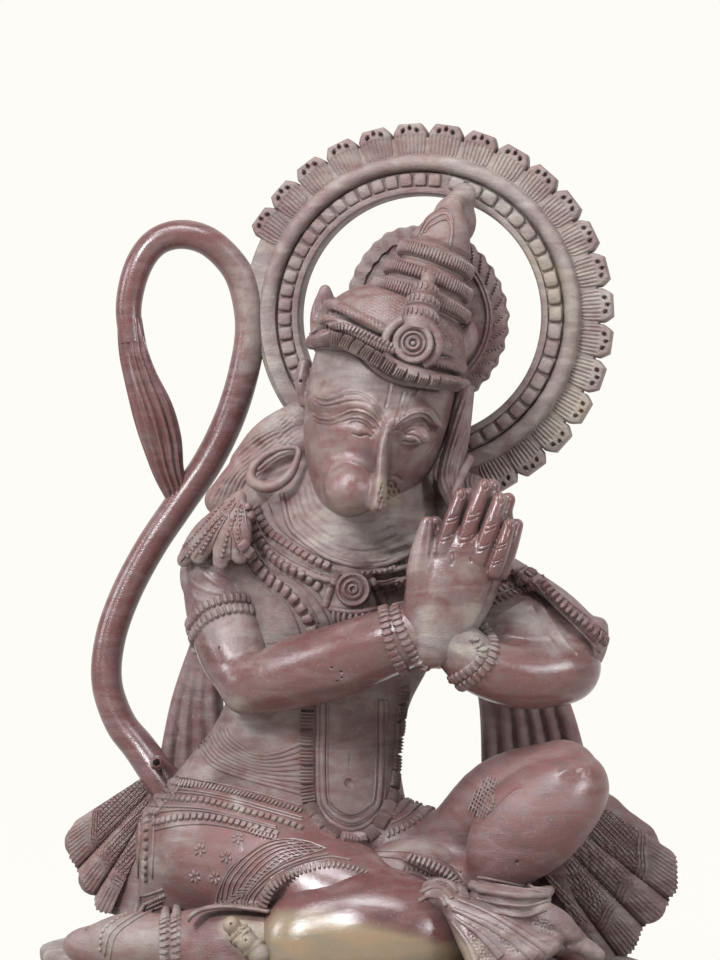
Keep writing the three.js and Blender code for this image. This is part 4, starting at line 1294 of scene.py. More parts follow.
for lean_out, size in ((-1, 1.0), (1, 0.9)):
    turn = np.radians(np.linspace(-62, 62, 15))
    rise = np.array([0, 0, 1.0])
    arc = (MEDALLION + lean_out * across * (np.cos(turn)[:, None] * 15.5 * size - 2)
           + rise * np.sin(turn)[:, None] * 13 * size + [0, 2.4, 0])
    band_parts.append(sweep("scroll", arc, np.tile(MEDALLION_AXIS, (15, 1)),
                            round_section(2.3, 2.2, 10)))
SPIKE_FOOT = np.array([44.0, -42.0, 334.0])
SPIKE_LEAN = unit(np.array([0.14, 0.40, 0.9]))
tiers = [
    (2, -6), (9.6, -4), (9.8, 1.5), (8.4, 2.6), (8.8, 7.6), (7.4, 9), (6.4, 9.6), (7.4, 10.6), (7.4, 15),
    (5.8, 16.2), (5, 16.8), (5.8, 18), (5.6, 22), (4.2, 23.4), (3.4, 24), (3.6, 28), (1, 31), (0.3, 31.4),
]
band_parts.append(turned("spike", SPIKE_FOOT, SPIKE_LEAN, tiers, 40))
for radius, height, count in ((8.7, 5.0, 22), (7.5, 13.0, 19), (5.8, 20.0, 15)):
    ring, out = turned_ring(SPIKE_FOOT, SPIKE_LEAN, radius, height)
    band_parts.append(row("spike_ribs", ring, out, RIB, count=count, closed=True))
headband = joined("headband", band_parts)
crown_pieces = [turban, cap, headband]
print("crown", [len(p.data.polygons) for p in crown_pieces], "faces")

# %% [markdown]
# Behind the crown stands a flat disc, nearly as tall as the halo's hole. Its left side has soft
# flutes like feathers and its right rim slanting leaves. Short bridges of stone tie it to the halo.

# %% Crown disc
DISC_MIDDLE = np.array([41.0, 0.0, 343.0])
DISC_RADII = (40.6, 46.6)
DISC_FRONT, DISC_BACK = 21.0, 34.0


def on_disc(degrees, share, depth):
    a = np.radians(degrees)
    return DISC_MIDDLE + np.array([DISC_RADII[0] * share * math.cos(a), depth,
                                   DISC_RADII[1] * share * math.sin(a)])


def disc_section(degrees):
    """A radial section: field, double border line, and a rim that is leafy on the right."""
    from_right = degrees if degrees < 180 else degrees - 360
    right = np.clip((78 - abs(from_right - 2)) / 10, 0, 1)
    lean = np.clip((60 - abs(degrees - 58)) / 50, 0, 1)
    shrink = 1 - 0.07 * math.sin(math.pi / 2 * lean) if degrees < 180 else 1.0
    wave = 0.008 * math.cos(math.radians(degrees * 36)) * (1 - right)
    feather = 0.9 * (1 - right) * (0.5 + 0.5 * math.cos(math.radians(degrees * 30)))
    pairs = [(0.02, DISC_FRONT + 2.5), (0.6, DISC_FRONT + 2.2), (0.72, DISC_FRONT + 2)]
    for share in (0.755, 0.80):
        pairs += [(share - 0.018, DISC_FRONT + 2 - right), (share, DISC_FRONT + 1.9 - 1.7 * right),
                  (share + 0.018, DISC_FRONT + 2 - right)]
    for share in (0.835, 0.86, 0.89, 0.92, 0.95, 0.975):
        slope = (degrees / 10.6 - (share - 0.8) * 5.5) % 1.0
        leaf = 2.6 * slope ** 0.7 * math.sin(math.pi * min(1, (share - 0.8) / 0.19)) ** 0.4
        pairs.append((share + wave, DISC_FRONT + 2.6 * right + feather - leaf * right))
    jag = 0.014 * math.cos(2 * math.pi * (degrees / 10.6 - 1.0)) * right
    pairs += [(0.99 + wave + jag, DISC_FRONT + 1.8), (1.0 + wave + jag, DISC_FRONT + 4),
              (1.0 + wave + jag, DISC_BACK - 2), (0.97 + wave, DISC_BACK), (0.5, DISC_BACK),
              (0.02, DISC_BACK)]
    return [on_disc(degrees, s * (1 + (shrink - 1) * s), d) for s, d in pairs]


disc_parts = [spun("disc", [disc_section(a) for a in np.arange(0, 360, 0.9)])]
bridge_clay = Clay((-10, -8, 272), (80, 62, 412), 1.4)
ball(bridge_clay, (54, 34, 390), (11, 14, 13), soft=0)
limb(bridge_clay, [(50, 6, 386), (55, 14, 396), (59, 34, 403)], [(7, 6), (4.5, 5), (6, 9)], soft=4)
ball(bridge_clay, (28, 42, 293), (33, 13, 24), soft=0)
disc_parts.append(new_mesh("bridge", *skin(bridge_clay)))
crown_disc = joined("crown_disc", disc_parts)
print("disc", len(crown_disc.data.polygons), "faces")

# %% [markdown]
# Hair falls in heavy bundles behind the shoulders, each combed with fine parallel lines. The left
# ear ring is a thick polished hoop; on the right a long lock hangs past the cheek.

# %% Hair and earrings
hair_clay = Clay((-76, -34, 214), (88, 60, 320), 1.0)
for path, widths in (([(-14, 6, 294), (-34, 8, 282), (-48, 10, 270)], [9, 10, 7]),
                     ([(-16, 5, 280), (-42, 7, 266), (-60, 10, 251)], [10, 11, 8]),
                     ([(-14, 3, 264), (-36, 3, 252), (-56, 5, 240)], [10, 11, 8])):
    limb(hair_clay, path, widths, soft=2)
ball(hair_clay, (6, 28, 250), (52, 24, 36), soft=5)
ball(hair_clay, (60, 14, 243), (20, 20, 22), soft=4)
limb(hair_clay, [(62.7, -4, 304), (60, -8, 282), (56, -12, 262), (60, -12, 250)],
     [(5, 6), (5.6, 8), (6, 7), (5, 6)], soft=1.5)
hair = shaped("hair", hair_clay)
carving = Carving(hair)
LOCKS = [
    ([(298, 398), (278, 412), (262, 428), (250, 446)], 9),
    ([(300, 420), (278, 434), (258, 450), (244, 470)], 9),
    ([(292, 440), (262, 452), (238, 474), (222, 498)], 9),
    ([(268, 430), (240, 452), (220, 478), (206, 504)], 8),
    ([(252, 440), (226, 462), (210, 484), (200, 500)], 7),
]
for line, width in LOCKS:
    carving.strands(line, width, 2.1, 0.5, wave=0.35)
carving.strands([(462, 392), (452, 420), (443, 450), (438, 478), (446, 500)], 6, 2.6, 0.8)
carving.strands([(476, 430), (464, 456), (460, 484), (470, 506)], 8, 2.2, 0.7)
carving.finish()
thinned(hair, 52000)
HOOP = [(298, 449), (296, 463), (288, 477), (274, 486), (260, 486), (251, 479), (254, 466), (266, 455),
        (283, 448)]
HOOP_DEPTHS = (-12, -15, -19, -20, -18, -14, -12, -11, -11)
hoop_run = smooth_path([spot(u, v, y) for (u, v), y in zip(HOOP, HOOP_DEPTHS)], 8, closed=True)
hoop_swell = 0.72 + 0.28 * np.cos(np.linspace(0, 2 * math.pi, len(hoop_run)) - 2.6)
sweep("earring", hoop_run, forwards(hoop_run), round_section(3.0, 3.0, 20), closed=True,
      sizes=np.stack([hoop_swell, hoop_swell], 1))
EAR_LEAF = [(66, -8, 272), (62, -16, 262), (60, -20, 252), (66, -20, 244), (74, -16, 240)]
leaf_run = smooth_path(EAR_LEAF, 8)
sweep("ear_leaf", leaf_run, forwards(leaf_run), round_section(2.2, 1.8, 14))
print("hair", len(hair.data.polygons), "faces")

# %% [markdown]
# Cloth carved in stone stays a shallow skin on the masses. The lap cloth crosses the front thigh,
# gathers in a knot and falls in pleats between the legs. At the back a shawl hangs in flutes and
# opens into a fan of folds on each side.

# %% Lap cloth
lap_clay = Clay((-62, -96, 22), (140, -8, 114), 1.0)
KNOT = spot(447, 897, -66)
PLEAT_ENDS = [
    (478, 966, -84), (488, 966, -84), (499, 966, -83), (510, 963, -83), (521, 959, -82), (532, 955, -81),
    (543, 950, -80), (553, 944, -78),
]
for u, v, depth in PLEAT_ENDS:
    foot = spot(u, v, depth)
    limb(lap_clay, [KNOT, KNOT + (foot - KNOT) * 0.5 + [0, -2, 1], foot], [(3, 7), (4.4, 8), (4.6, 8)],
         soft=4)
for rise, reach in ((0, 0), (9, 3), (18, 5)):
    limb(lap_clay, [spot(474 + reach, 885 + rise, -60), spot(498, 892 + rise, -71),
                    spot(524, 895 + rise * 1.05, -73), spot(549 - reach, 891 + rise, -62)],
         [(2.8, 8), (3.2, 9), (3.2, 9), (2.6, 8)], soft=1)
limb(lap_clay, [spot(500, 908, -66), spot(530, 912, -70), spot(556, 923, -72), spot(572, 935, -72)],
     [(5, 8), (7, 9), (7, 8), (4.5, 6)], soft=2)
for shift in (0, 9, 18):
    limb(lap_clay, [spot(560, 950 - shift * 0.2, -66), spot(578 + shift * 0.3, 946, -68),
                    spot(590 + shift * 0.5, 955, -66)], [(3.4, 7), (4, 7), (3, 6)], soft=1)
ball(lap_clay, spot(440, 895, -60), (12, 11, 8), soft=5)
RIB_HEM = [(262, 905), (270.6, 889), (286, 877), (308.6, 868), (331, 864.5), (349, 867), (366, 873)]
HEM_DEPTHS = [-66, -64, -60, -56, -54, -52, -52]
limb(lap_clay, [spot(u, v, d) for (u, v), d in zip(RIB_HEM, HEM_DEPTHS)],
     [(2.4, 6), (3.2, 7), (3.4, 7), (3.2, 7), (2.8, 7), (2.4, 7), (1.6, 6)], soft=1)
SECOND_HEM = [(410, 858), (424, 862), (438, 868), (452, 877), (461, 887), (464, 898)]
limb(lap_clay, [spot(u, v, -54) for u, v in SECOND_HEM],
     [(2, 7), (3.2, 8), (3.6, 8), (3.6, 8), (3.2, 7), (2.6, 6)], soft=1)
ball(lap_clay, (44, -32, 74), (27, 24, 15), soft=4)
PANEL = [(184, 962), (184, 932), (190, 917), (204, 909), (226, 906), (248, 908), (268, 911)]
limb(lap_clay, [spot(u, v, -74 if u < 200 else -70) for u, v in PANEL], [(1.3, 4)], soft=1)
TASSEL_BALLS = [
    ((231.6, 925), (4.3, 5, 4.3)), ((238, 932.5), (6.4, 4.6, 1.5)), ((241.5, 936), (6.4, 4.6, 1.5)),
    ((247, 942), (5.2, 6, 5)), ((253, 948), (6.6, 4.8, 1.6)), ((259, 954), (5.4, 5, 5.4)),
]
for (u, v), radii in TASSEL_BALLS:
    ball(lap_clay, spot(u, v, -78.5), radii, turn=(0, -42, 0), soft=0.5)
lap = shaped("lap_cloth", lap_clay)

# %% [markdown]
# The shawl behind the arms is a row of flutes side by side, and each fan has a plain back of broad
# leaves. These are tubes again, since a carver rounds every fold over. They are made as one piece,
# because seen from behind the shawl runs into the fans without a joint.

# %% Shawl and fans
fan_clay = Clay((-154, -8, 22), (166, 46, 192), 1.5)
for i in range(4):
    t = i / 3
    limb(fan_clay, [(-72 + 8 * t, 28, 186), (-84 + 18 * t, 32 - 4 * t, 150),
                    (-91 + 29 * t, 32 - 2 * t, 112)],
         [(3.4, 8), (4.4, 9), (5, 9)], soft=1.2)
for i in range(6):
    t = i / 5
    limb(fan_clay, [(66 + 26 * t, 22, 176 + 6 * t), (72 + 36 * t, 26 - 2 * t, 148 + 2 * t),
                    (74 + 44 * t, 26 - 2 * t, 104 + 8 * t)], [(3.6, 8), (4.6, 9), (5.4, 9)], soft=1.2)
LEFT_ROOT, RIGHT_ROOT = (-88, 30, 104), (92, 20, 122)
LEFT_LEAVES = [(-135, 33, 78, 11), (-128, 29, 60, 10), (-116, 25, 51, 10), (-104, 22, 40, 12)]
RIGHT_LEAVES = [
    (129, 24, 97, 10), (146, 24, 83, 11), (156, 23, 69, 11), (150, 20, 52, 12), (136, 16, 38, 13),
    (118, 12, 34, 12),
]
for root, leaves in ((LEFT_ROOT, LEFT_LEAVES), (RIGHT_ROOT, RIGHT_LEAVES)):
    for x, y, z, width in leaves:
        y += 5
        bend = [a + (b - a) * 0.6 for a, b in zip(root, (x, y, z))]
        limb(fan_clay, [root, bend, (x, y, z)], [(5, 8), (width * 0.8, 7), (width * 0.85, 5)], soft=3)
for path, widths in (([(-76, 34, 104), (-88, 36, 80), (-92, 36, 34)], [(20, 7), (24, 7), (22, 7)]),
                     ([(96, 28, 92), (98, 27, 74), (84, 26, 34)], [(20, 7), (32, 7), (42, 7)])):
    limb(fan_clay, path, widths, soft=3)
fans = thinned(shaped("fans", fan_clay), 34000)
print("cloth", len(lap.data.polygons), "and", len(fans.data.polygons), "faces")


# %% [markdown]
# The front of each fan is one folded sheet. It is laid out as rays from the knot to the rim. The
# folds deepen towards the rim, the upper half is cross-hatched, three curved bands cross the
# middle, and the ends are cut into stripes and steps.

# %% Folded sheets
SHEET_STEPS = 90
SHEET_THICKNESS = 4.0


def folded_sheet(name, roots, rim, creases, depths, rays=300):
    """A fan of folds; roots, rim and creases are places in the picture, depths run along Y."""
    rim = smooth_path(rim, 12)
    run = np.concatenate([[0], np.cumsum(np.linalg.norm(np.diff(rim, axis=0), axis=1))])
    way = np.linspace(0, run[-1], rays)
    edge = np.stack([np.interp(way, run, rim[:, k]) for k in (0, 1)], 1)
    marks = np.sort([way[np.argmin(np.hypot(*(edge - c).T))] for c in creases])
    marks = np.concatenate([[-8], marks, [run[-1] + 8]])
    leaf = np.searchsorted(marks, way) - 1
    share = (way - marks[leaf]) / (marks[leaf + 1] - marks[leaf])
    t = np.linspace(0, 1, SHEET_STEPS)[:, None]
    spread = t ** 0.8
    jag = 0.5 + 0.5 * np.cos(2 * math.pi * way / 5.2)
    root = np.stack([np.interp(way, [0, run[-1]], [roots[0][k], roots[1][k]]) for k in (0, 1)], 1)
    u = root[:, 0] + (edge[:, 0] - root[:, 0]) * spread * (1 - 0.012 * jag * (t > 0.97))
    v = root[:, 1] + (edge[:, 1] - root[:, 1]) * spread * (1 - 0.012 * jag * (t > 0.97))
    fold = np.sin(np.pi * np.clip(share, 0, 1)) ** 0.7 + 0.35 * np.cos(2 * np.pi * share) * (share - 0.2)
    height = 5.5 * fold * (0.25 + 0.75 * t)
    bend = t + 0.05 * np.sin(np.pi * share)
    for middle in (0.68, 0.71, 0.74):
        height = height + 0.8 * np.exp(-((bend - middle) / 0.008) ** 2)
    cross = np.maximum(np.cos(2 * math.pi * (u + v) / 5.6), np.cos(2 * math.pi * (u - v) / 5.6))
    height = height - 0.7 * np.clip(cross, 0, 1) ** 3 * (bend < 0.655) * (t > 0.1)
    height = height - 0.22 * (0.5 - 0.5 * np.cos(2 * math.pi * way / 4.6)) ** 2 * (bend > 0.8)
    base = depths[0] + (depths[1] - depths[0]) * t + (depths[2] - depths[0]) * (way / run[-1]) * t
    front, back = [np.stack([spot(*place) for place in zip(u.ravel(), v.ravel(), (y + 0 * u).ravel())])
                   for y in (base - height, base + SHEET_THICKNESS)]
    index = np.arange(SHEET_STEPS * rays).reshape(SHEET_STEPS, rays)
    quads = np.stack([index[:-1, :-1], index[1:, :-1], index[1:, 1:], index[:-1, 1:]], -1).reshape(-1, 4)
    loop = np.concatenate([index[0], index[1:, -1], index[-1, -2::-1], index[-2:0:-1, 0]])
    after = np.roll(loop, -1)
    count = len(front)
    walls = np.stack([loop, loop + count, after + count, after], 1)
    faces = np.concatenate([quads, quads[:, ::-1] + count, walls])
    return outward(new_mesh(name, np.concatenate([front, back]), faces))


RIGHT_RIM = [
    (672, 851), (677, 858), (678, 872), (678, 888), (675, 895), (670, 899), (669, 905), (658, 916),
    (647, 925), (643, 930), (639, 941), (633, 952), (626, 957), (618, 959), (600, 962),
]
RIGHT_CREASES = [(670, 901), (645, 927), (620, 958)]
RIGHT_ROOTS = [(552, 774), (528, 850)]
LEFT_RIM = [
    (75, 821), (70, 830), (68, 844), (69, 858), (75, 867), (80, 880), (86, 890), (94, 893), (94, 902),
    (97, 911), (110, 915),
]
LEFT_CREASES = [(77, 869), (95, 895)]
LEFT_ROOTS = [(160, 766), (160, 800)]
right_sheet = folded_sheet("right_fan_front", RIGHT_ROOTS, RIGHT_RIM, RIGHT_CREASES, (14, 16, 8))
thinned(right_sheet, 60000)
left_sheet = folded_sheet("left_fan_front", LEFT_ROOTS, LEFT_RIM, LEFT_CREASES, (24, 27, 22), 220)
thinned(left_sheet, 40000)
print("sheets", len(right_sheet.data.polygons), len(left_sheet.data.polygons), "faces")

# %% [markdown]
# The plinth is a low oval block set askew, with a raised lip above and below a shallow waist. It
# was left with saw and chisel marks, so its top and sides are rougher and paler than the figure.

# %% Plinth
PLINTH_HALF = (158.0, 88.6)
PLINTH_HEIGHT = 28.0
PLINTH_TURN = math.radians(-18)
PLINTH_POWER = 2.2
RIM_DROP = 2.2


def plinth_ring(angle):
    """A radial section of the plinth at an angle round its middle."""
    c, s = math.cos(angle), math.sin(angle)
    reach = (abs(c / PLINTH_HALF[0]) ** PLINTH_POWER + abs(s / PLINTH_HALF[1]) ** PLINTH_POWER) ** (
        -1 / PLINTH_POWER)
    lip = 1 - RIM_DROP / PLINTH_HALF[0]
    rough = 0.0022 * math.sin(37 * angle) + 0.0016 * math.sin(83 * angle + 1)
    pairs = [(0.002, 0), (0.5, 0), (0.994, 0), (1, 0.6), (1, 7), (0.997, 8), (lip, 11), (lip, 19.5),
             (0.998 + rough, 22.4), (1 + rough, 23.6), (1 + rough, 25.6), (0.996 + rough, 27),
             (0.985, PLINTH_HEIGHT), (0.9, PLINTH_HEIGHT), (0.6, PLINTH_HEIGHT), (0.002, PLINTH_HEIGHT)]
    x, y = c * reach, s * reach
    turned_x = x * math.cos(PLINTH_TURN) - y * math.sin(PLINTH_TURN)
    turned_y = x * math.sin(PLINTH_TURN) + y * math.cos(PLINTH_TURN)
    return [np.array([turned_x * min(r, 1.0), turned_y * min(r, 1.0), z]) for r, z in pairs]


plinth = spun("plinth", [plinth_ring(a) for a in np.linspace(0, 2 * math.pi, 240, endpoint=False)])
print("plinth", len(plinth.data.polygons), "faces")

# %% [markdown]
# The neck is turned into smooth, shallow rings down to a polished roll. Outside the roll lie three
# strings of blocks, a round pendant in a wedge-shaped frame, and short strings of beads on the
# right. On the shoulder the strings spread from under the earring over the leaves of a cape.

# %% Neck and breast
NECK_ROLL = [
    (282, 494), (289, 524), (301, 538), (318, 551.5), (335, 560), (359, 566), (385, 563.6), (413, 552),
]
NECK_EYE = (352, 462)
carving = Carving(trunk)
for share in (0.93, 0.86, 0.8, 0.71, 0.63, 0.57, 0.5):
    ring = [(NECK_EYE[0] + (u - NECK_EYE[0]) * share, NECK_EYE[1] + (v - NECK_EYE[1]) * share)
            for u, v in NECK_ROLL]
    carving.groove(ring, 0.8, 0.7)
SHOULDER_LINES = [
    [(187, 565), (192, 582.5), (208, 591), (227, 594.6)],
    [(198, 562), (204, 574), (216, 583), (229, 588)], [(190, 590), (198, 600), (214, 600)],
    [(206, 560), (216, 570), (232, 577)],
]
for line in SHOULDER_LINES:
    carving.ridge(line, 0.7, 0.5)
    carving.ridge([(u + 3.4, v - 1.6) for u, v in line], 0.5, 0.35)
U_FOLDS = between([(197, 742), (205, 757), (218, 768), (249, 779), (274, 786), (304, 794)],
                  [(226, 729), (229, 736), (237, 744), (254, 754), (276, 753), (304, 742)], 9)
BIB_LINES = [(318, 700), (318, 790), (325, 815), (350, 829.5), (374, 818), (384, 795), (386, 700)]
BIB_MIDDLE = (351, 775)
carving.groove([(350.4, 754), (349.8, 764), (349.6, 773)], 0.35, 0.4)
carving.drill(349, 783, 1.9, 1.6)
for line in ([(327, 735), (345, 727), (372, 720)], [(329, 740), (349, 731), (373, 725)],
             [(330, 746), (346, 739), (358, 733)]):
    carving.groove(line, 0.45, 0.4)
carving.finish()
thinned(trunk, 100000)

breast = Stone(trunk)
BREAST_BLOCK = pebble("breast_block", (2.3, 3.2, 2.4), 10, 6, 4)
SMALL_BLOCK = pebble("small_block", (1.9, 2.5, 2.2), 10, 6, 4)
PLAIN_BLOCK = pebble("plain_block", (2.0, 2.1, 2.0), 8, 5, 4)
OUTER_STRING = [
    (243, 545), (249, 554), (258, 567), (272, 580), (287, 591), (300, 606), (310, 622), (316, 640),
]
MIDDLE_STRING = [
    (247, 508), (253, 526), (260, 539), (268, 551), (280, 562), (293, 570), (306, 577), (318, 586),
]
INNER_STRING = [(258, 507), (264, 523), (275, 536), (288, 545), (301, 554), (314, 561), (327, 566)]
neck_parts = [
    laid("roll", breast, NECK_ROLL, 1.5, 1.7, 12),
    set_row("outer", breast, OUTER_STRING, BREAST_BLOCK, 5.8, 0.3),
    set_row("middle", breast, MIDDLE_STRING, SMALL_BLOCK, 4.8, 0.3),
    set_row("inner", breast, INNER_STRING, PLAIN_BLOCK, 4.4, 0.3),
]
PLAIN_LINES = [
    [(243, 504), (247, 528), (254, 547), (266, 564), (281, 576), (297, 588), (309, 604), (318, 622)],
    [(253, 506), (258, 524), (266, 539), (279, 552), (293, 561), (308, 568), (322, 575)],
    [(268, 503), (276, 522), (289, 536), (305, 547), (322, 556), (340, 563), (362, 568.6), (388, 567)],
    [(228, 508), (231, 530), (238, 552), (250, 569), (264, 584), (279, 597), (292, 613), (300, 632)],
    [(281, 573), (300, 584), (314, 598), (325, 614), (331, 630)],
    [(284, 570), (304, 581), (319, 595), (330, 612), (335, 630)], [(372, 580), (390, 577), (412, 567)],
    [(372, 583), (390, 580.5), (412, 571)],
]
neck_parts += [laid("line", breast, line, 0.55, 0.8) for line in PLAIN_LINES]
BEAD_STRINGS = [
    ([(363, 573), (384, 571), (401, 564), (414, 558)], BEAD, 2.9),
    ([(384, 587), (398, 583), (412, 576)], BEAD, 3.0), ([(382, 594), (394, 592), (404, 586)], SEED, 2.1),
    ([(233, 500), (207, 531), (188, 556)], BEAD, 2.7), ([(235, 503), (216, 529), (201, 552)], BEAD, 2.6),
    ([(239, 506), (229, 532), (222, 556)], BEAD, 2.6), ([(242, 508), (238, 532), (238, 552)], SEED, 2.2),
    ([(228, 498), (203, 525), (184, 546)], SEED, 2.2),
]
neck_parts += [set_row("beads", breast, *string) for string in BEAD_STRINGS]
for tip in ((180, 562), (194, 558), (210, 552), (231, 558), (246, 556)):
    middle = [(a + b) / 2 + c for a, b, c in zip((238, 500), tip, (-3, 1))]
    neck_parts.append(laid("leaf_edge", breast, [(238, 500), middle, tip], 0.5, 0.8, 6))
print(len(neck_parts), "strings and lines on the neck")

# %% [markdown]
# The pendant is a turned disc of rings within rings, set in a wedge between two rounded bars, with
# a tab of ribs below. Its rings are one profile spun about the breast's own direction, which keeps
# them as crisp as the compass-cut originals.

# %% Pendant
PENDANT = (353.5, 589.5)
(foot,), (facing,) = [part[:1] for part in thrown(breast, [PENDANT, PENDANT, PENDANT], 1)]
PENDANT_PROFILE = [
    (8.4, -3), (8.5, 2.6), (7.9, 3.6), (6.9, 3.6), (6.3, 2.6), (5.6, 2.2), (5.0, 3.2), (4.1, 3.6),
    (3.3, 2.6), (2.7, 2.2), (2.2, 3.4), (1.6, 3.5), (1.1, 2.0), (0.1, 1.6),
]
neck_parts.append(turned("pendant", foot, facing, PENDANT_PROFILE, 48))
FRAME_BARS = [
    ([(339, 572), (331, 588), (325, 606)], 2.2), ([(368, 572), (377, 588), (384, 606)], 2.2),
    ([(331, 609), (354, 612), (378, 609)], 1.6),
]
neck_parts += [laid("frame", breast, line, width, 1.6, 16) for line, width in FRAME_BARS]
TAB_RIB = pebble("tab_rib", (1.1, 3.9, 1.7), 6, 5, 3)
neck_parts.append(row("tab", *thrown(breast, [(335, 617), (354, 619), (374, 617)]), TAB_RIB, count=8))
necklaces = joined("necklaces", neck_parts)
print("necklaces", len(necklaces.data.polygons), "faces")

# %% [markdown]
# A long garland of ribbed blocks hangs down the belly round a bib with a moulded edge. Three flat
# bands of a belt cross the hips below it, and two more show in the shade on the right.

# %% Garland and belts
GARLAND = [
    (308, 700), (307.5, 724), (307, 745), (307, 764), (307.5, 784), (309, 803), (318, 821), (333, 834),
    (350, 839.5), (367, 836), (381, 823), (390, 803), (394, 780), (396, 752), (400, 716), (403, 694),
]
belly = Stone(trunk, lower)
GARLAND_BLOCK = ribbed_block("garland_block", 4.1, 6.4, 5, 3.0)
belt_parts = [row("garland", *lifted(thrown(belly, GARLAND, 8), 0.9), GARLAND_BLOCK, pitch=9.0)]
belt_parts += [laid("fold", belly, fold, 1.05, 0.75, pieces=6) for fold in U_FOLDS]
for share, width, rise in ((1, 1.2, 1.0), (0.93, 0.5, 0.7), (0.86, 1.7, 1.6), (0.72, 0.6, 0.7)):
    ring = [(BIB_MIDDLE[0] + (u - BIB_MIDDLE[0]) * share, v if v < 760 else
             BIB_MIDDLE[1] + (v - BIB_MIDDLE[1]) * share) for u, v in BIB_LINES]
    belt_parts.append(laid("bib", belly, ring, width, rise, 10, 10))
BELT_TILE = pebble("belt_tile", (0.85, 2.5, 1.3), 6, 4, 3)
BELT_BLOCK = pebble("belt_block", (1.5, 1.9, 1.7), 8, 5, 4)
BELT_ROWS = [
    ([(157, 781), (170, 781.5), (206, 786.5), (240, 794), (270, 802), (300, 811)], BELT_TILE, 2.05),
    ([(152, 797), (180, 799), (206, 801), (232, 808), (254, 814), (276, 820),
     (300, 828)], BELT_BLOCK, 3.5),
    ([(155, 823), (180, 817.5), (206, 817), (232, 822), (254, 828), (276, 834)], BELT_BLOCK, 3.6),
    ([(394, 815), (403, 805), (412, 795), (421, 786)], BELT_TILE, 2.1),
    ([(388, 834), (400, 829), (412, 823), (424, 813), (436, 801)], BELT_TILE, 2.6),
]
belt_parts += [set_row("belt", belly, *band) for band in BELT_ROWS]
for line in ([(148, 774), (172, 776), (206, 781), (240, 789), (270, 797), (300, 806)],
             [(150, 787), (172, 788), (206, 793), (240, 800.5), (270, 809), (302, 818)],
             [(150, 791), (172, 792), (206, 795.5), (240, 803.5), (270, 812), (302, 821)],
             [(150, 806), (180, 807), (206, 809), (232, 815), (254, 821), (276, 827)],
             [(152, 813), (180, 810), (206, 811.5), (232, 817), (254, 823), (276, 829)],
             [(155, 830), (180, 825), (206, 824), (232, 828), (262, 836), (296, 845)],
             [(392, 806), (402, 797), (412, 788)], [(392, 823), (408, 815), (424, 800)]):
    belt_parts.append(laid("edge", belly, line, 0.6, 0.9))
belts = joined("garland_and_belts", belt_parts)
print("garland and belts", len(belts.data.polygons), "faces")

# %% [markdown]
# Armlets and bangles are pairs of ribbed rings cut round the limbs. Each path is thrown onto the
# arm from the front and again from behind, so that the ring closes at the back.

# %% Armlets and bangles
limbs = Stone(arms, hands)
upper_arm = Stone(arms)
RING_RIB = pebble("ring_rib", (1.3, 2.9, 2.1), 6, 5, 3)
RINGS = [
    (upper_arm, [(185, 632), (192, 620), (204, 607), (224, 599), (245, 598), (262, 602)], 3.0),
    (upper_arm, [(183, 655), (190, 642), (199, 626), (214, 615), (236, 608.5), (262, 611)], 3.0),
    (limbs, [(383, 604), (385, 620), (391, 648), (402, 668), (413, 680)], 3.1),
    (limbs, [(394, 602), (397, 620), (406, 642), (417, 660), (428, 671)], 3.1),
    (limbs, [(484, 627), (494, 644), (488, 664), (472, 680), (454, 690)], 3.1),
    (limbs, [(474, 640), (483, 652), (475, 665), (460, 676), (444, 683)], 3.1),
]
ring_parts = []
for tree, pixels, pitch in RINGS:
    places, out = wrapped(tree, pixels)
    ring_parts.append(row("ring_ribs", places, out, RING_RIB, pitch=pitch, closed=True))
    ring_parts.append(sweep("band", places, out, round_section(2.4, 0.9, 8), closed=True))
bangles = joined("armlets_and_bangles", ring_parts)
print("armlets and bangles", len(bangles.data.polygons), "faces")

# %% [markdown]
# Each finger of the pressed hands has a nail and two pairs of fine creases. The sleeve beside them
# has ribbed bands along its edges, and its folds run down to the forearm.

# %% Finger and sleeve lines
carving = Carving(hands)
NAILS = [(461, 492), (485, 483), (500.5, 497), (509.5, 522)]
for (root, middle, tip, girth), (u, v) in zip(FINGERS, NAILS):
    lean = (tip[0] - root[0]) / (tip[1] - root[1])
    for share in (0.16, 0.24, 0.5, 0.58):
        cu, cv = (a + (b - a) * share for a, b in zip(root, tip))
        carving.groove([(cu - 6, cv - 1 - 6 * lean), (cu, cv), (cu + 6, cv - 1 + 6 * lean)], 0.32, 0.5)
    nail = [(u + 3.3 * math.cos(a) + 3.0 * lean * -math.sin(a), v + 6 * math.sin(a))
            for a in full_turn(10)[:, 0]]
    carving.groove(nail, 0.35, 0.5, closed=True)
for line in ([(452, 552), (453, 560), (450, 566)], [(471, 556), (471, 564)], [(488, 566), (486, 574)],
             [(436, 552), (434, 560)], [(430, 556), (433, 540), (437, 524)]):
    carving.groove(line, 0.6, 0.8)
carving.drill(456, 645, 0.9, 1.6)
carving.finish()
thinned(hands, 55000)

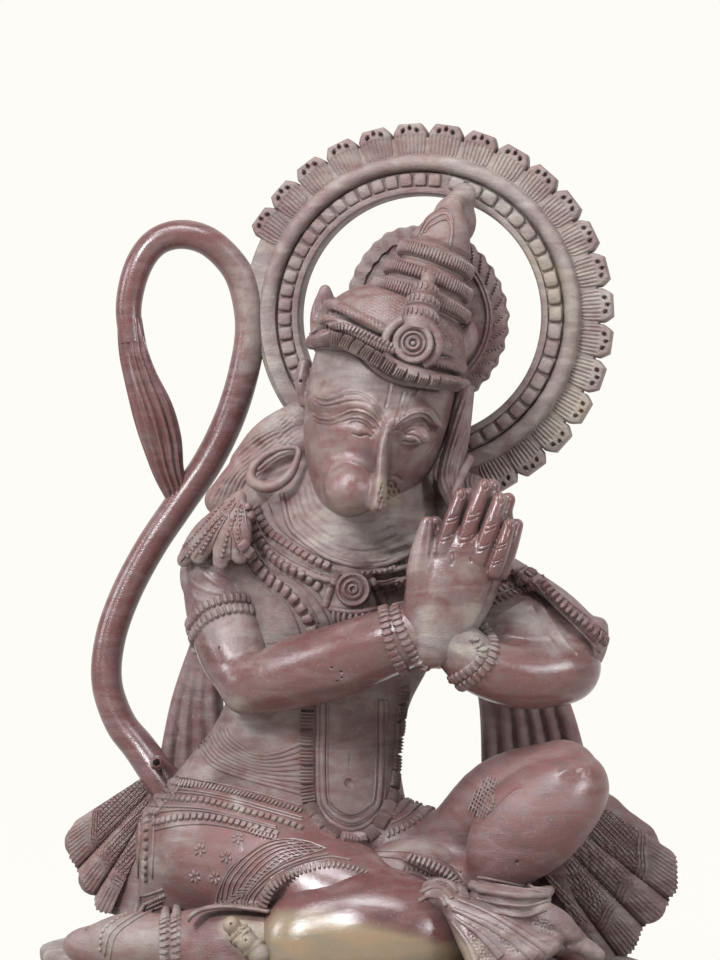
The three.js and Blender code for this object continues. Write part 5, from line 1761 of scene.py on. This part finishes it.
carving = Carving(arms)
for line in SHOULDER_LINES:
    carving.ridge(line, 0.7, 0.5)
SLEEVE_FOLDS = [
    [(536, 594), (550, 618), (566, 642), (580, 656)], [(530, 600), (541, 625), (556, 648)],
    [(494, 618), (515, 606), (532, 596)], [(492, 626), (512, 622), (528, 624)],
]
for line in SLEEVE_FOLDS:
    carving.ridge(line, 0.9, 0.45)
for u, v, size in ((332, 668, 0.6), (341, 672, 0.6), (219, 648, 0.5), (342, 678, 0.5), (337, 681, 0.5)):
    carving.drill(u, v, size, 1.0)
carving.finish()
thinned(arms, 40000)
sleeve = Stone(trunk, arms)
SLEEVE_ROWS = [
    ([(541, 582), (557, 598), (573, 613), (590, 627), (605, 641)], RING_RIB, 3.2),
    ([(496, 594), (508, 587), (520, 581), (532, 572)], RING_RIB, 3.0),
    ([(490, 604), (503, 598), (517, 592), (532, 586)], BELT_TILE, 2.8),
]
sleeve_parts = [set_row("sleeve_ribs", sleeve, *band) for band in SLEEVE_ROWS]
for line in ([(536, 584), (552, 602), (570, 620), (588, 638), (600, 652)],
             [(538, 568), (548, 584), (566, 600), (588, 618), (606, 634)],
             [(492, 588), (506, 578), (518, 570), (530, 564)],
             [(490, 599), (505, 592), (519, 586), (532, 579)]):
    sleeve_parts.append(laid("sleeve_edge", sleeve, line, 0.7, 1.0))
sleeve_band = joined("sleeve_bands", sleeve_parts)
print("sleeve bands", len(sleeve_band.data.polygons), "faces")

# %% [markdown]
# The cloth on the thigh is a thin, dry skin of cut lines: a cross-hatched border, smooth bands and
# a ribbed hem round the front knee, small cut flowers above it, and stippled grounds between
# the pleats. The knee itself is left bare and polished.

# %% Lap relief
HATCHED_BORDER = [
    (216, 905), (219, 891), (230, 869), (246, 856), (264, 844), (284, 839), (308, 842), (326, 849),
    (304, 856), (282, 864.5), (264, 876), (248, 894), (243, 906),
]
THIGH_PATCH = [(467, 809), (470, 799), (486, 777), (496, 773.5), (497, 793), (493, 812), (477, 824.5)]
STIPPLED = [
    [(464, 924), (474, 924), (500, 960), (478, 960)], [(480, 918), (500, 925), (530, 948), (512, 956)],
    [(520, 914), (548, 918), (560, 936), (540, 934)],
]
FLOWERS = [(200, 850), (226, 857), (195, 877), (215, 878), (238, 838)]
LAP_GROOVES = [
    ([(240, 830), (242, 843), (244, 853)], 0.4, 0.4), ([(235, 938), (239, 931), (246, 928)], 0.4, 0.6),
    ([(241, 945), (243, 936), (250, 932)], 0.4, 0.6),
]
LAP_RIDGES = [
    ([(475, 834), (486, 820), (500.6, 805.4), (511.8, 794), (523, 788)], 0.7, 0.7),
    ([(558, 778), (566, 771), (574, 774)], 1.6, 0.8), ([(578, 775), (587, 768), (594, 774)], 1.8, 1.0),
]
LAP_HOLES = [(259, 828, 1.0, 1.6), (231, 924, 0.7, 1.2), (246, 940, 0.7, 1.2), (517, 862, 0.8, 1.4)]
for piece in (lap, lower):
    carving = Carving(piece)
    for outline in STIPPLED:
        carving.stipple(outline, 1.7, 0.6, seed=3)
    for cut in LAP_GROOVES:
        carving.groove(*cut)
    for cut in LAP_RIDGES:
        carving.ridge(*cut)
    for cut in LAP_HOLES:
        carving.drill(*cut)
    carving.finish()
thinned(lap, 72000)
thinned(lower, 78000)
thinned(knee, 30000)
cloth = Stone(lap, lower, knee, trunk)
HEM_RIB = pebble("hem_rib", (0.9, 3.0, 1.6), 6, 5, 3)
lap_parts = [row("hem", *thrown(cloth, RIB_HEM), HEM_RIB, pitch=2.35,
                 sizes=np.linspace(1.1, 0.6, len(smooth_path(RIB_HEM, 6)))),
             set_row("second_hem", cloth, SECOND_HEM, HEM_RIB, 2.4),
             set_row("second_tiles", cloth, [(404, 868), (418, 870), (432, 877), (444, 886)], SEED, 2.2),
             set_row("border_ribs", cloth, [(248, 829), (262, 834), (276, 837)], BELT_TILE, 2.0)]
FLOWER_PETAL = pebble("flower_petal", (0.9, 1.5, 0.8), 6, 5, 2.4)
flower_turns = np.radians(np.arange(20, 380, 45))
for u, v in FLOWERS:
    ring = [(u + 4.2 * math.cos(a), v + 4.2 * math.sin(a)) for a in flower_turns]
    places, out = thrown(cloth, ring, 6, closed=True)
    lap_parts.append(row("flower", places, out, FLOWER_PETAL, count=6, closed=True))
LAP_LINES = [
    HATCHED_BORDER[:8], HATCHED_BORDER[7:],
    [(246, 907), (251, 894), (267, 878), (285, 867), (306, 859), (328, 854)],
    [(252, 907), (256, 895), (271, 879), (289, 868), (309, 861), (330, 857), (350, 860)],
    [(378, 851), (410, 852.5), (441, 860), (461, 872)],
    [(380, 856), (406, 860), (428, 870), (446, 884)],
    [(478, 877), (492, 879), (520, 885), (546, 890)], [(480, 881), (498, 885), (522, 889), (548, 893)],
]
lap_parts += [laid("line", cloth, line, 0.6, 0.8) for line in LAP_LINES]
HATCHING = [
    ([(205, 906), (214, 870), (248, 838), (296, 828)], [(250, 907), (258, 885), (290, 858),
     (340, 852)], 10, HATCHED_BORDER),
    ([(214, 912), (226, 904)], [(300, 836), (330, 856)], 24, HATCHED_BORDER),
    ([(460, 795), (492, 822)], [(478, 770), (502, 788)], 9, THIGH_PATCH),
    ([(462, 830), (484, 770)], [(484, 834), (506, 776)], 8, THIGH_PATCH),
]
for one, other, count, outline in HATCHING:
    for line in between(one, other, count):
        run = smooth_path(line, 12)
        kept = run[enclosed(run[:, 0], run[:, 1], np.asarray(outline, float))]
        if len(kept) > 2:
            lap_parts.append(laid("hatch", cloth, kept, 0.5, 0.8, 6, 1))
PLEAT_BANDS = [
    ([(458, 900), (490, 913), (525, 934), (550, 951)], 1.6),
    ([(453, 909), (486, 924), (516, 943), (535, 957)], 1.9), ([(456, 918), (482, 937), (501, 957)], 1.5),
    ([(453, 922), (468, 944), (476, 961)], 1.3),
]
for line, width in PLEAT_BANDS:
    places, out = thrown(cloth, line, 8)
    grow = np.linspace(0.6, 1.5, len(places))
    lap_parts.append(sweep("pleat_band", places, out, round_section(width, 1.1, 12),
                           sizes=np.stack([grow, np.ones(len(places))], 1)))
THIGH_LINES = [[(482, 781), (484, 792.6), (489, 807), (486, 818)], [(488, 778), (491, 792.6), (495, 804)]]
lap_parts += [laid("thigh_line", cloth, line, 0.5, 0.8, 6) for line in THIGH_LINES]
ANKLETS = [
    ([(165.5, 911), (164.5, 935), (165, 962)], 3.0), ([(176.5, 909), (175.5, 935), (176.5, 962)], 3.0),
]
for pixels, pitch in ANKLETS:
    places, out = wrapped(Stone(lower), pixels)
    lap_parts.append(row("anklet", places, out, RING_RIB, pitch=pitch, closed=True))
    lap_parts.append(sweep("anklet_band", places, out, round_section(2.5, 0.9, 8), closed=True))
BEAD_STRIP = [(148, 805), (147, 840), (146, 860), (145.5, 878)]
lap_parts.append(set_row("bead_strip", cloth, BEAD_STRIP, PLAIN_BLOCK, 4.4))
lap_parts += [laid("strip_edge", cloth, [(u + shift, v) for u, v in BEAD_STRIP], 0.6, 0.9)
              for shift in (-7, 7)]
DIAGONAL = [(100, 949), (104, 930), (126, 914), (164, 896)]
lap_parts.append(set_row("diagonal_beads", cloth, DIAGONAL, BEAD, 3.0))
DIAGONAL_LINES = [[(86, 930), (97, 912), (126, 903), (164, 889)],
    [(109, 959), (116, 935), (136, 919), (162, 906)], [(104, 956), (110, 934), (131, 917), (163, 901)]]
lap_parts += [laid("diagonal_line", cloth, line, 0.7, 0.9) for line in DIAGONAL_LINES]
ANKLE_BAND = [(478, 890), (500, 893), (524, 896), (548, 895)]
lap_parts.append(laid("ankle_band", cloth, ANKLE_BAND, 1.5, 1.2, 10))
ANKLE_LINES = [
    [(477, 899), (502, 904), (526, 906), (548, 901)], [(480, 908), (504, 914), (526, 916), (546, 910)],
]
lap_parts += [laid("ankle_line", cloth, line, 0.8, 1.0) for line in ANKLE_LINES]
LEAF_RIDGES = [
    [(424, 886), (436, 880), (450, 883), (458, 893)], [(420, 893), (433, 887), (446, 890), (452, 899)],
    [(418, 901), (430, 896), (441, 898), (446, 906)],
]
lap_parts += [laid("leaf_ridge", cloth, line, 1.2, 1.1) for line in LEAF_RIDGES]
lap_relief = joined("lap_ornaments", lap_parts)
print("lap ornaments", len(lap_relief.data.polygons), "faces")

# %% [markdown]
# One stone, but not one surface: limbs, face and rolls are polished to a red-brown gloss, cut
# grounds are left matt and hold pale dust, and the block itself has olive and ochre clouds. These
# three things, ochre, dust and polish, are painted on each piece's corners: first an even coat for
# the whole piece, then soft strokes along lines in the picture. The dust also carries painted light
# and shade: a low coat of ochre and dust on the lower body, and a stroke that takes dust off the
# raised leg, are painted shade on legs that face the overhead lamp; more dust on the fan fronts is
# painted light where they sit in shade.

# %% Wear, with painted light and shade
COATS = {  # ochre, dust and polish of each piece before the strokes
    "head": (0.0, 0.25, 0.85), "arms": (0.05, 0.1, 1.0), "hands": (0.0, 0.08, 0.95),
    # lower_body's small ochre and dust keep the legs dark: the stone's own tone, and painted shade for legs
    # that face the overhead lamp.
    "tail": (0.05, 0.05, 0.95), "front_knee": (0.0, 0.0, 1.0), "lower_body": (0.14, 0.1, 0.45),
    "trunk": (0.08, 0.4, 0.3), "necklaces": (0.05, 0.25, 0.6), "garland_and_belts": (0.08, 0.35, 0.45),
    "armlets_and_bangles": (0.1, 0.2, 0.6), "sleeve_bands": (0.0, 0.2, 0.55), "crown": (0.1, 0.25, 0.65),
    "turban": (0.15, 0.3, 0.5), "headband": (0.1, 0.35, 0.5), "crown_disc": (0.25, 0.4, 0.35),
    "hair": (0.1, 0.35, 0.4), "halo": (0.12, 0.5, 0.4), "fans": (0.05, 0.25, 0.3),
    # The fan fronts carry more dust than the fans behind: pale dust, and painted light that brightens the
    # fronts where they sit in shade.
    "right_fan_front": (0.05, 0.35, 0.3), "left_fan_front": (0.05, 0.35, 0.3),
    "lap_cloth": (0.15, 0.38, 0.3),
    "lap_ornaments": (0.12, 0.4, 0.4), "plinth": (0.15, 0.75, 0.1),
}
STROKES = {  # path, radius in pixels and strength
    0: [  # ochre
        ([(286, 925), (325, 934), (390, 950), (450, 962)], 23, 0.9), ([(280, 945), (400, 975)], 20, 0.9),
        ([(232, 926), (262, 955)], 12, 1.0), ([(190, 850), (215, 870), (235, 845)], 22, 0.4),
        ([(520, 820), (565, 795)], 34, 0.3), ([(520, 245), (550, 275), (558, 312)], 12, 0.9),
        ([(560, 440), (590, 410)], 16, 0.6), ([(500, 500), (548, 482)], 14, 0.5),
        ([(384, 484), (392, 500)], 12, 0.8), ([(673, 860), (676, 890)], 10, 0.8),
        ([(60, 945), (85, 930)], 12, 0.3), ([(500, 190), (575, 270), (590, 340), (560, 440)], 36, 0.3),
    ],
    1: [  # dust
        # The stroke at -0.3 along the raised leg, from (500, 860) to (560, 850), takes dust off: a painted
        # shade that darkens the leg under the overhead lamp.
        ([(170, 840), (215, 860)], 30, -0.25), ([(500, 860), (560, 850)], 26, -0.3),
        ([(457, 175), (514, 200)], 14, 0.8), ([(312, 340), (338, 340)], 8, -0.3),
        ([(430, 560), (432, 610)], 16, 0.3), ([(455, 585), (470, 570)], 14, 0.22),
        ([(430, 640), (470, 645), (478, 620)], 18, 0.9), ([(237, 705), (247, 726)], 10, 0.5),
        ([(235, 796), (240, 809)], 4, 1.0), ([(515, 610), (560, 640)], 16, 0.6),
        ([(210, 600), (250, 640)], 24, 0.35), ([(330, 360), (400, 400)], 30, 0.3),
        ([(330, 530), (400, 540)], 26, 0.5), ([(180, 830), (150, 870)], 22, 0.5),
        ([(90, 930), (150, 940)], 26, 0.6), ([(244, 260), (270, 420)], 20, 0.5),
        ([(500, 190), (575, 270), (590, 340), (560, 440)], 40, 0.25),
    ],
    2: [  # polish
        ([(300, 880), (470, 950)], 60, 1.0), ([(500, 860), (560, 850)], 30, -0.35),
        ([(384, 484), (392, 500)], 10, -0.9), ([(430, 640), (470, 645)], 18, -0.6),
        ([(565, 775), (600, 790)], 22, 0.5), ([(200, 600), (262, 640)], 26, -0.4),
    ],
}


def paint_wear_and_light(piece):
    """Ochre, dust and polish on a piece's corners; the dust also carries painted light and shade."""
    u, v = picture_place(corners_of(piece))
    facing = np.clip(0.6 + normals_of(piece) @ towards, 0, 1)
    wear = np.tile(COATS.get(piece.name, (0.1, 0.3, 0.5)), (len(u), 1)).astype(float)
    for channel, path, radius, strength in [(c, *stroke) for c in STROKES for stroke in STROKES[c]]:
        run = smooth_path(path, 6)
        gap = np.min([off_line(u, v, a, b)[0] for a, b in zip(run, run[1:])], 0)
        wear[:, channel] += strength * np.exp(-(gap / radius) ** 2) * facing
    colours = np.concatenate([np.clip(wear, 0, 1), np.ones((len(u), 1))], 1)
    layer = piece.data.color_attributes.new("wear", "FLOAT_COLOR", "POINT")
    layer.data.foreach_set("color", colours.astype(np.float32).ravel())


for stamp in stamps:
    bpy.data.objects.remove(stamp)
carved = [p for p in bpy.data.objects if p.type == "MESH" and "hanuman" not in p.name]
for piece in carved:
    paint_wear_and_light(piece)
print(len(carved), "pieces painted")

# %% [markdown]
# The stone's colour comes from clouds of noise in three sizes, over which the painted ochre and
# dust come and go; the dust also carries painted shade on the legs and painted light on the fan
# fronts. Dust also settles where little sky is seen, which the ambient occlusion node
# tells. Dry stone is rough and grainy; polished stone is smooth, with fine scratches and pits.


# %% Soapstone
def tone(red, green, blue):
    """A colour picked on a screen, as light."""
    return tuple((c / 255 / 12.92 if c < 11 else ((c / 255 + 0.055) / 1.055) ** 2.4)
                 for c in (red, green, blue)) + (1.0,)


class Recipe:
    """Short words for building a material's node tree."""

    def __init__(self, material):
        material.use_nodes = True
        self.tree = material.node_tree
        self.tree.nodes.clear()

    def node(self, kind, values=(), **settings):
        made = self.tree.nodes.new(kind)
        for name, value in settings.items():
            setattr(made, name, value)
        for socket, value in dict(values).items():
            if isinstance(value, bpy.types.NodeSocket):
                self.tree.links.new(value, made.inputs[socket])
            else:
                made.inputs[socket].default_value = value
        return made

    def noise(self, place, scale, detail=4.0, rough=0.55, twist=0.0):
        return self.node("ShaderNodeTexNoise", {"Vector": place, "Scale": scale, "Detail": detail,
                                                "Roughness": rough, "Distortion": twist}).outputs["Fac"]

    def remap(self, value, low, high, to_low=0.0, to_high=1.0):
        return self.node("ShaderNodeMapRange", {"Value": value, "From Min": low, "From Max": high,
                                                "To Min": to_low, "To Max": to_high}).outputs["Result"]

    def sums(self, operation, one, other):
        return self.node("ShaderNodeMath", {0: one, 1: other}, operation=operation).outputs[0]

    def mixed(self, share, one, other):
        return self.node("ShaderNodeMix", {0: share, 6: one, 7: other}, data_type="RGBA").outputs[2]

    def stretched(self, place, scale, turn):
        settings = {"Vector": place, "Scale": scale, "Rotation": turn}
        return self.node("ShaderNodeMapping", settings).outputs[0]


r = Recipe(stone)
place = r.node("ShaderNodeTexCoord").outputs["Object"]
wear = r.node("ShaderNodeVertexColor", layer_name="wear").outputs["Color"]
parts = r.node("ShaderNodeSeparateColor", {"Color": wear}).outputs
# The second channel is dust, and also painted shade on the legs and painted light on the fan fronts.
ochre, dust_and_painted_light, polish = parts[0], parts[1], parts[2]
clouds = r.noise(place, 11, 4, 0.55, 0.6)
streaks = r.noise(r.stretched(place, (1.0, 1.0, 3.4), (0.2, 0.5, 0.1)), 34, 5, 0.6, 1.1)
mottle = r.noise(place, 120, 5, 0.65)
grain = r.noise(place, 900, 3, 0.6)
red_brown = r.mixed(r.remap(clouds, 0.35, 0.65), tone(101, 65, 63), tone(80, 51, 50))
body = r.mixed(r.remap(streaks, 0.45, 0.7), red_brown, tone(106, 81, 81))
body = r.mixed(r.remap(mottle, 0.5, 0.7, 0, 0.75), body, tone(64, 42, 44))
olive = r.mixed(r.remap(streaks, 0.35, 0.65), tone(112, 101, 84), tone(124, 104, 82))
patchy = r.remap(r.sums("ADD", ochre, r.remap(clouds, 0.3, 0.7, -0.3, 0.3)), 0.35, 0.75)
body = r.mixed(patchy, body, olive)
shade = r.node("ShaderNodeAmbientOcclusion", {"Distance": 0.007}, samples=6).outputs["AO"]
hidden = r.remap(shade, 0.3, 0.8, 0.5, 0.0)
dust_and_light_settled = r.remap(r.sums("ADD", dust_and_painted_light, r.remap(mottle, 0.35, 0.7, -0.25, 0.3)), 0.0, 1.0)
dust_and_light_share = r.sums("MULTIPLY", r.sums("MAXIMUM", dust_and_light_settled, hidden), r.remap(dust_and_painted_light, 0.0, 0.3, 0.35, 0.95))
body = r.mixed(dust_and_light_share, body, r.mixed(r.remap(streaks, 0.4, 0.6), tone(119, 109, 106), tone(141, 133, 125)))
specks = r.remap(grain, 0.62, 0.78, 0, 0.35)
body = r.mixed(specks, body, tone(166, 154, 152))
gloss = r.sums("MULTIPLY", polish, r.remap(dust_and_light_share, 0.1, 0.8, 1.0, 0.45))
dull = r.remap(r.sums("ADD", gloss, r.remap(mottle, 0.35, 0.65, -0.1, 0.1)), 0.0, 1.0, 0.76, 0.22)
scratches = r.noise(r.stretched(place, (1.0, 1.0, 9.0), (0.4, 0.3, 0.9)), 260, 3, 0.6, 0.4)
rough = r.sums("ADD", r.sums("MULTIPLY", mottle, 0.5), r.sums("MULTIPLY", grain, 0.5))
height = r.sums("ADD", rough, r.sums("MULTIPLY", scratches, 0.5))
cells = r.node("ShaderNodeTexVoronoi", {"Vector": place, "Scale": 160.0})
pits = r.remap(cells.outputs["Distance"], 0.0, 0.12)
height = r.sums("ADD", height, r.sums("MULTIPLY", pits, 0.35))
relief = r.node("ShaderNodeBump", {"Height": height, "Strength": r.remap(gloss, 0, 1, 0.9, 0.14),
                                   "Distance": 0.0007})
skin_node = r.node("ShaderNodeBsdfPrincipled", {"Base Color": body, "Roughness": dull,
                                                "Normal": relief.outputs["Normal"],
                                                "Specular IOR Level": 0.5})
r.node("ShaderNodeOutputMaterial", {"Surface": skin_node.outputs["BSDF"]})
print("soapstone has", len(r.tree.nodes), "nodes")

# %% [markdown]
# Every piece is cut from the one block, so each gets the same stone, rides on the root and stands
# in for the figure's solid. Edges sharper than a carver's arris stay sharp; all else is smooth.

# %% Finish the pieces
ARRIS = math.radians(42)
for piece in carved:
    piece.data.materials.clear()
    piece.data.materials.append(stone)
    piece.data.set_sharp_from_angle(angle=ARRIS)
    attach(piece, "root")
    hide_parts("hanuman_figure")
print("pieces:", ", ".join(p.name for p in carved))

# %% [markdown]
# The figure was photographed on white paper under soft studio lamps: a large one high on the left
# in front, which draws the long gloss on the arms, and weaker light from the right.

# %% Floor and light
def paper(name, size, place, turn, shade, glow):
    """White paper lit by lamps of its own, which its glow stands for."""
    bpy.ops.mesh.primitive_plane_add(size=size, location=place, rotation=turn)
    sheet = bpy.context.active_object
    sheet.name = name
    white = bpy.data.materials.new(name)
    white.use_nodes = True
    shader = white.node_tree.nodes["Principled BSDF"]
    for entry, value in (("Base Color", (shade, shade, shade, 1)), ("Roughness", 0.9),
                         ("Specular IOR Level", 0.0), ("Emission Color", tone(255, 253, 247)),
                         ("Emission Strength", glow)):
        shader.inputs[entry].default_value = value
    sheet.data.materials.append(white)


paper("floor", 6, (0, 0, 0), (0, 0, 0), 0.01, 0.98)
paper("backdrop", 12, (0, 2.9, 5.9), (math.radians(90), 0, 0), 0.0, 0.99)


def lamp(name, place, target, size, power, longer=1.0):
    light = bpy.data.lights.new(name, "AREA")
    light.shape = "ELLIPSE"
    light.size, light.size_y = size * longer, size
    light.energy, light.color = power, (0.95, 0.97, 1.0)
    holder = linked(name, light)
    holder.location = place
    holder.rotation_mode = "QUATERNION"
    holder.rotation_quaternion = (Vector(target) - Vector(place)).to_track_quat("-Z", "Y")


lamp("key", (-0.75, -1.45, 1.25), (0, 0, 0.25), 0.5, 38)
lamp("overhead", (-0.1, -0.75, 1.65), (0, 0, 0.2), 0.3, 26, 5.0)
lamp("right", (1.35, -0.9, 0.75), (0, 0, 0.25), 0.5, 12)
lamp("left", (-1.4, -0.5, 0.8), (0, 0, 0.25), 0.5, 8)
bpy.context.scene.view_settings.view_transform = "Standard"
world = bpy.data.worlds.new("room")
bpy.context.scene.world = world
world.use_nodes = True
room = world.node_tree.nodes["Background"].inputs
room["Color"].default_value = (0.98, 0.99, 1.0, 1)
room["Strength"].default_value = 0.42
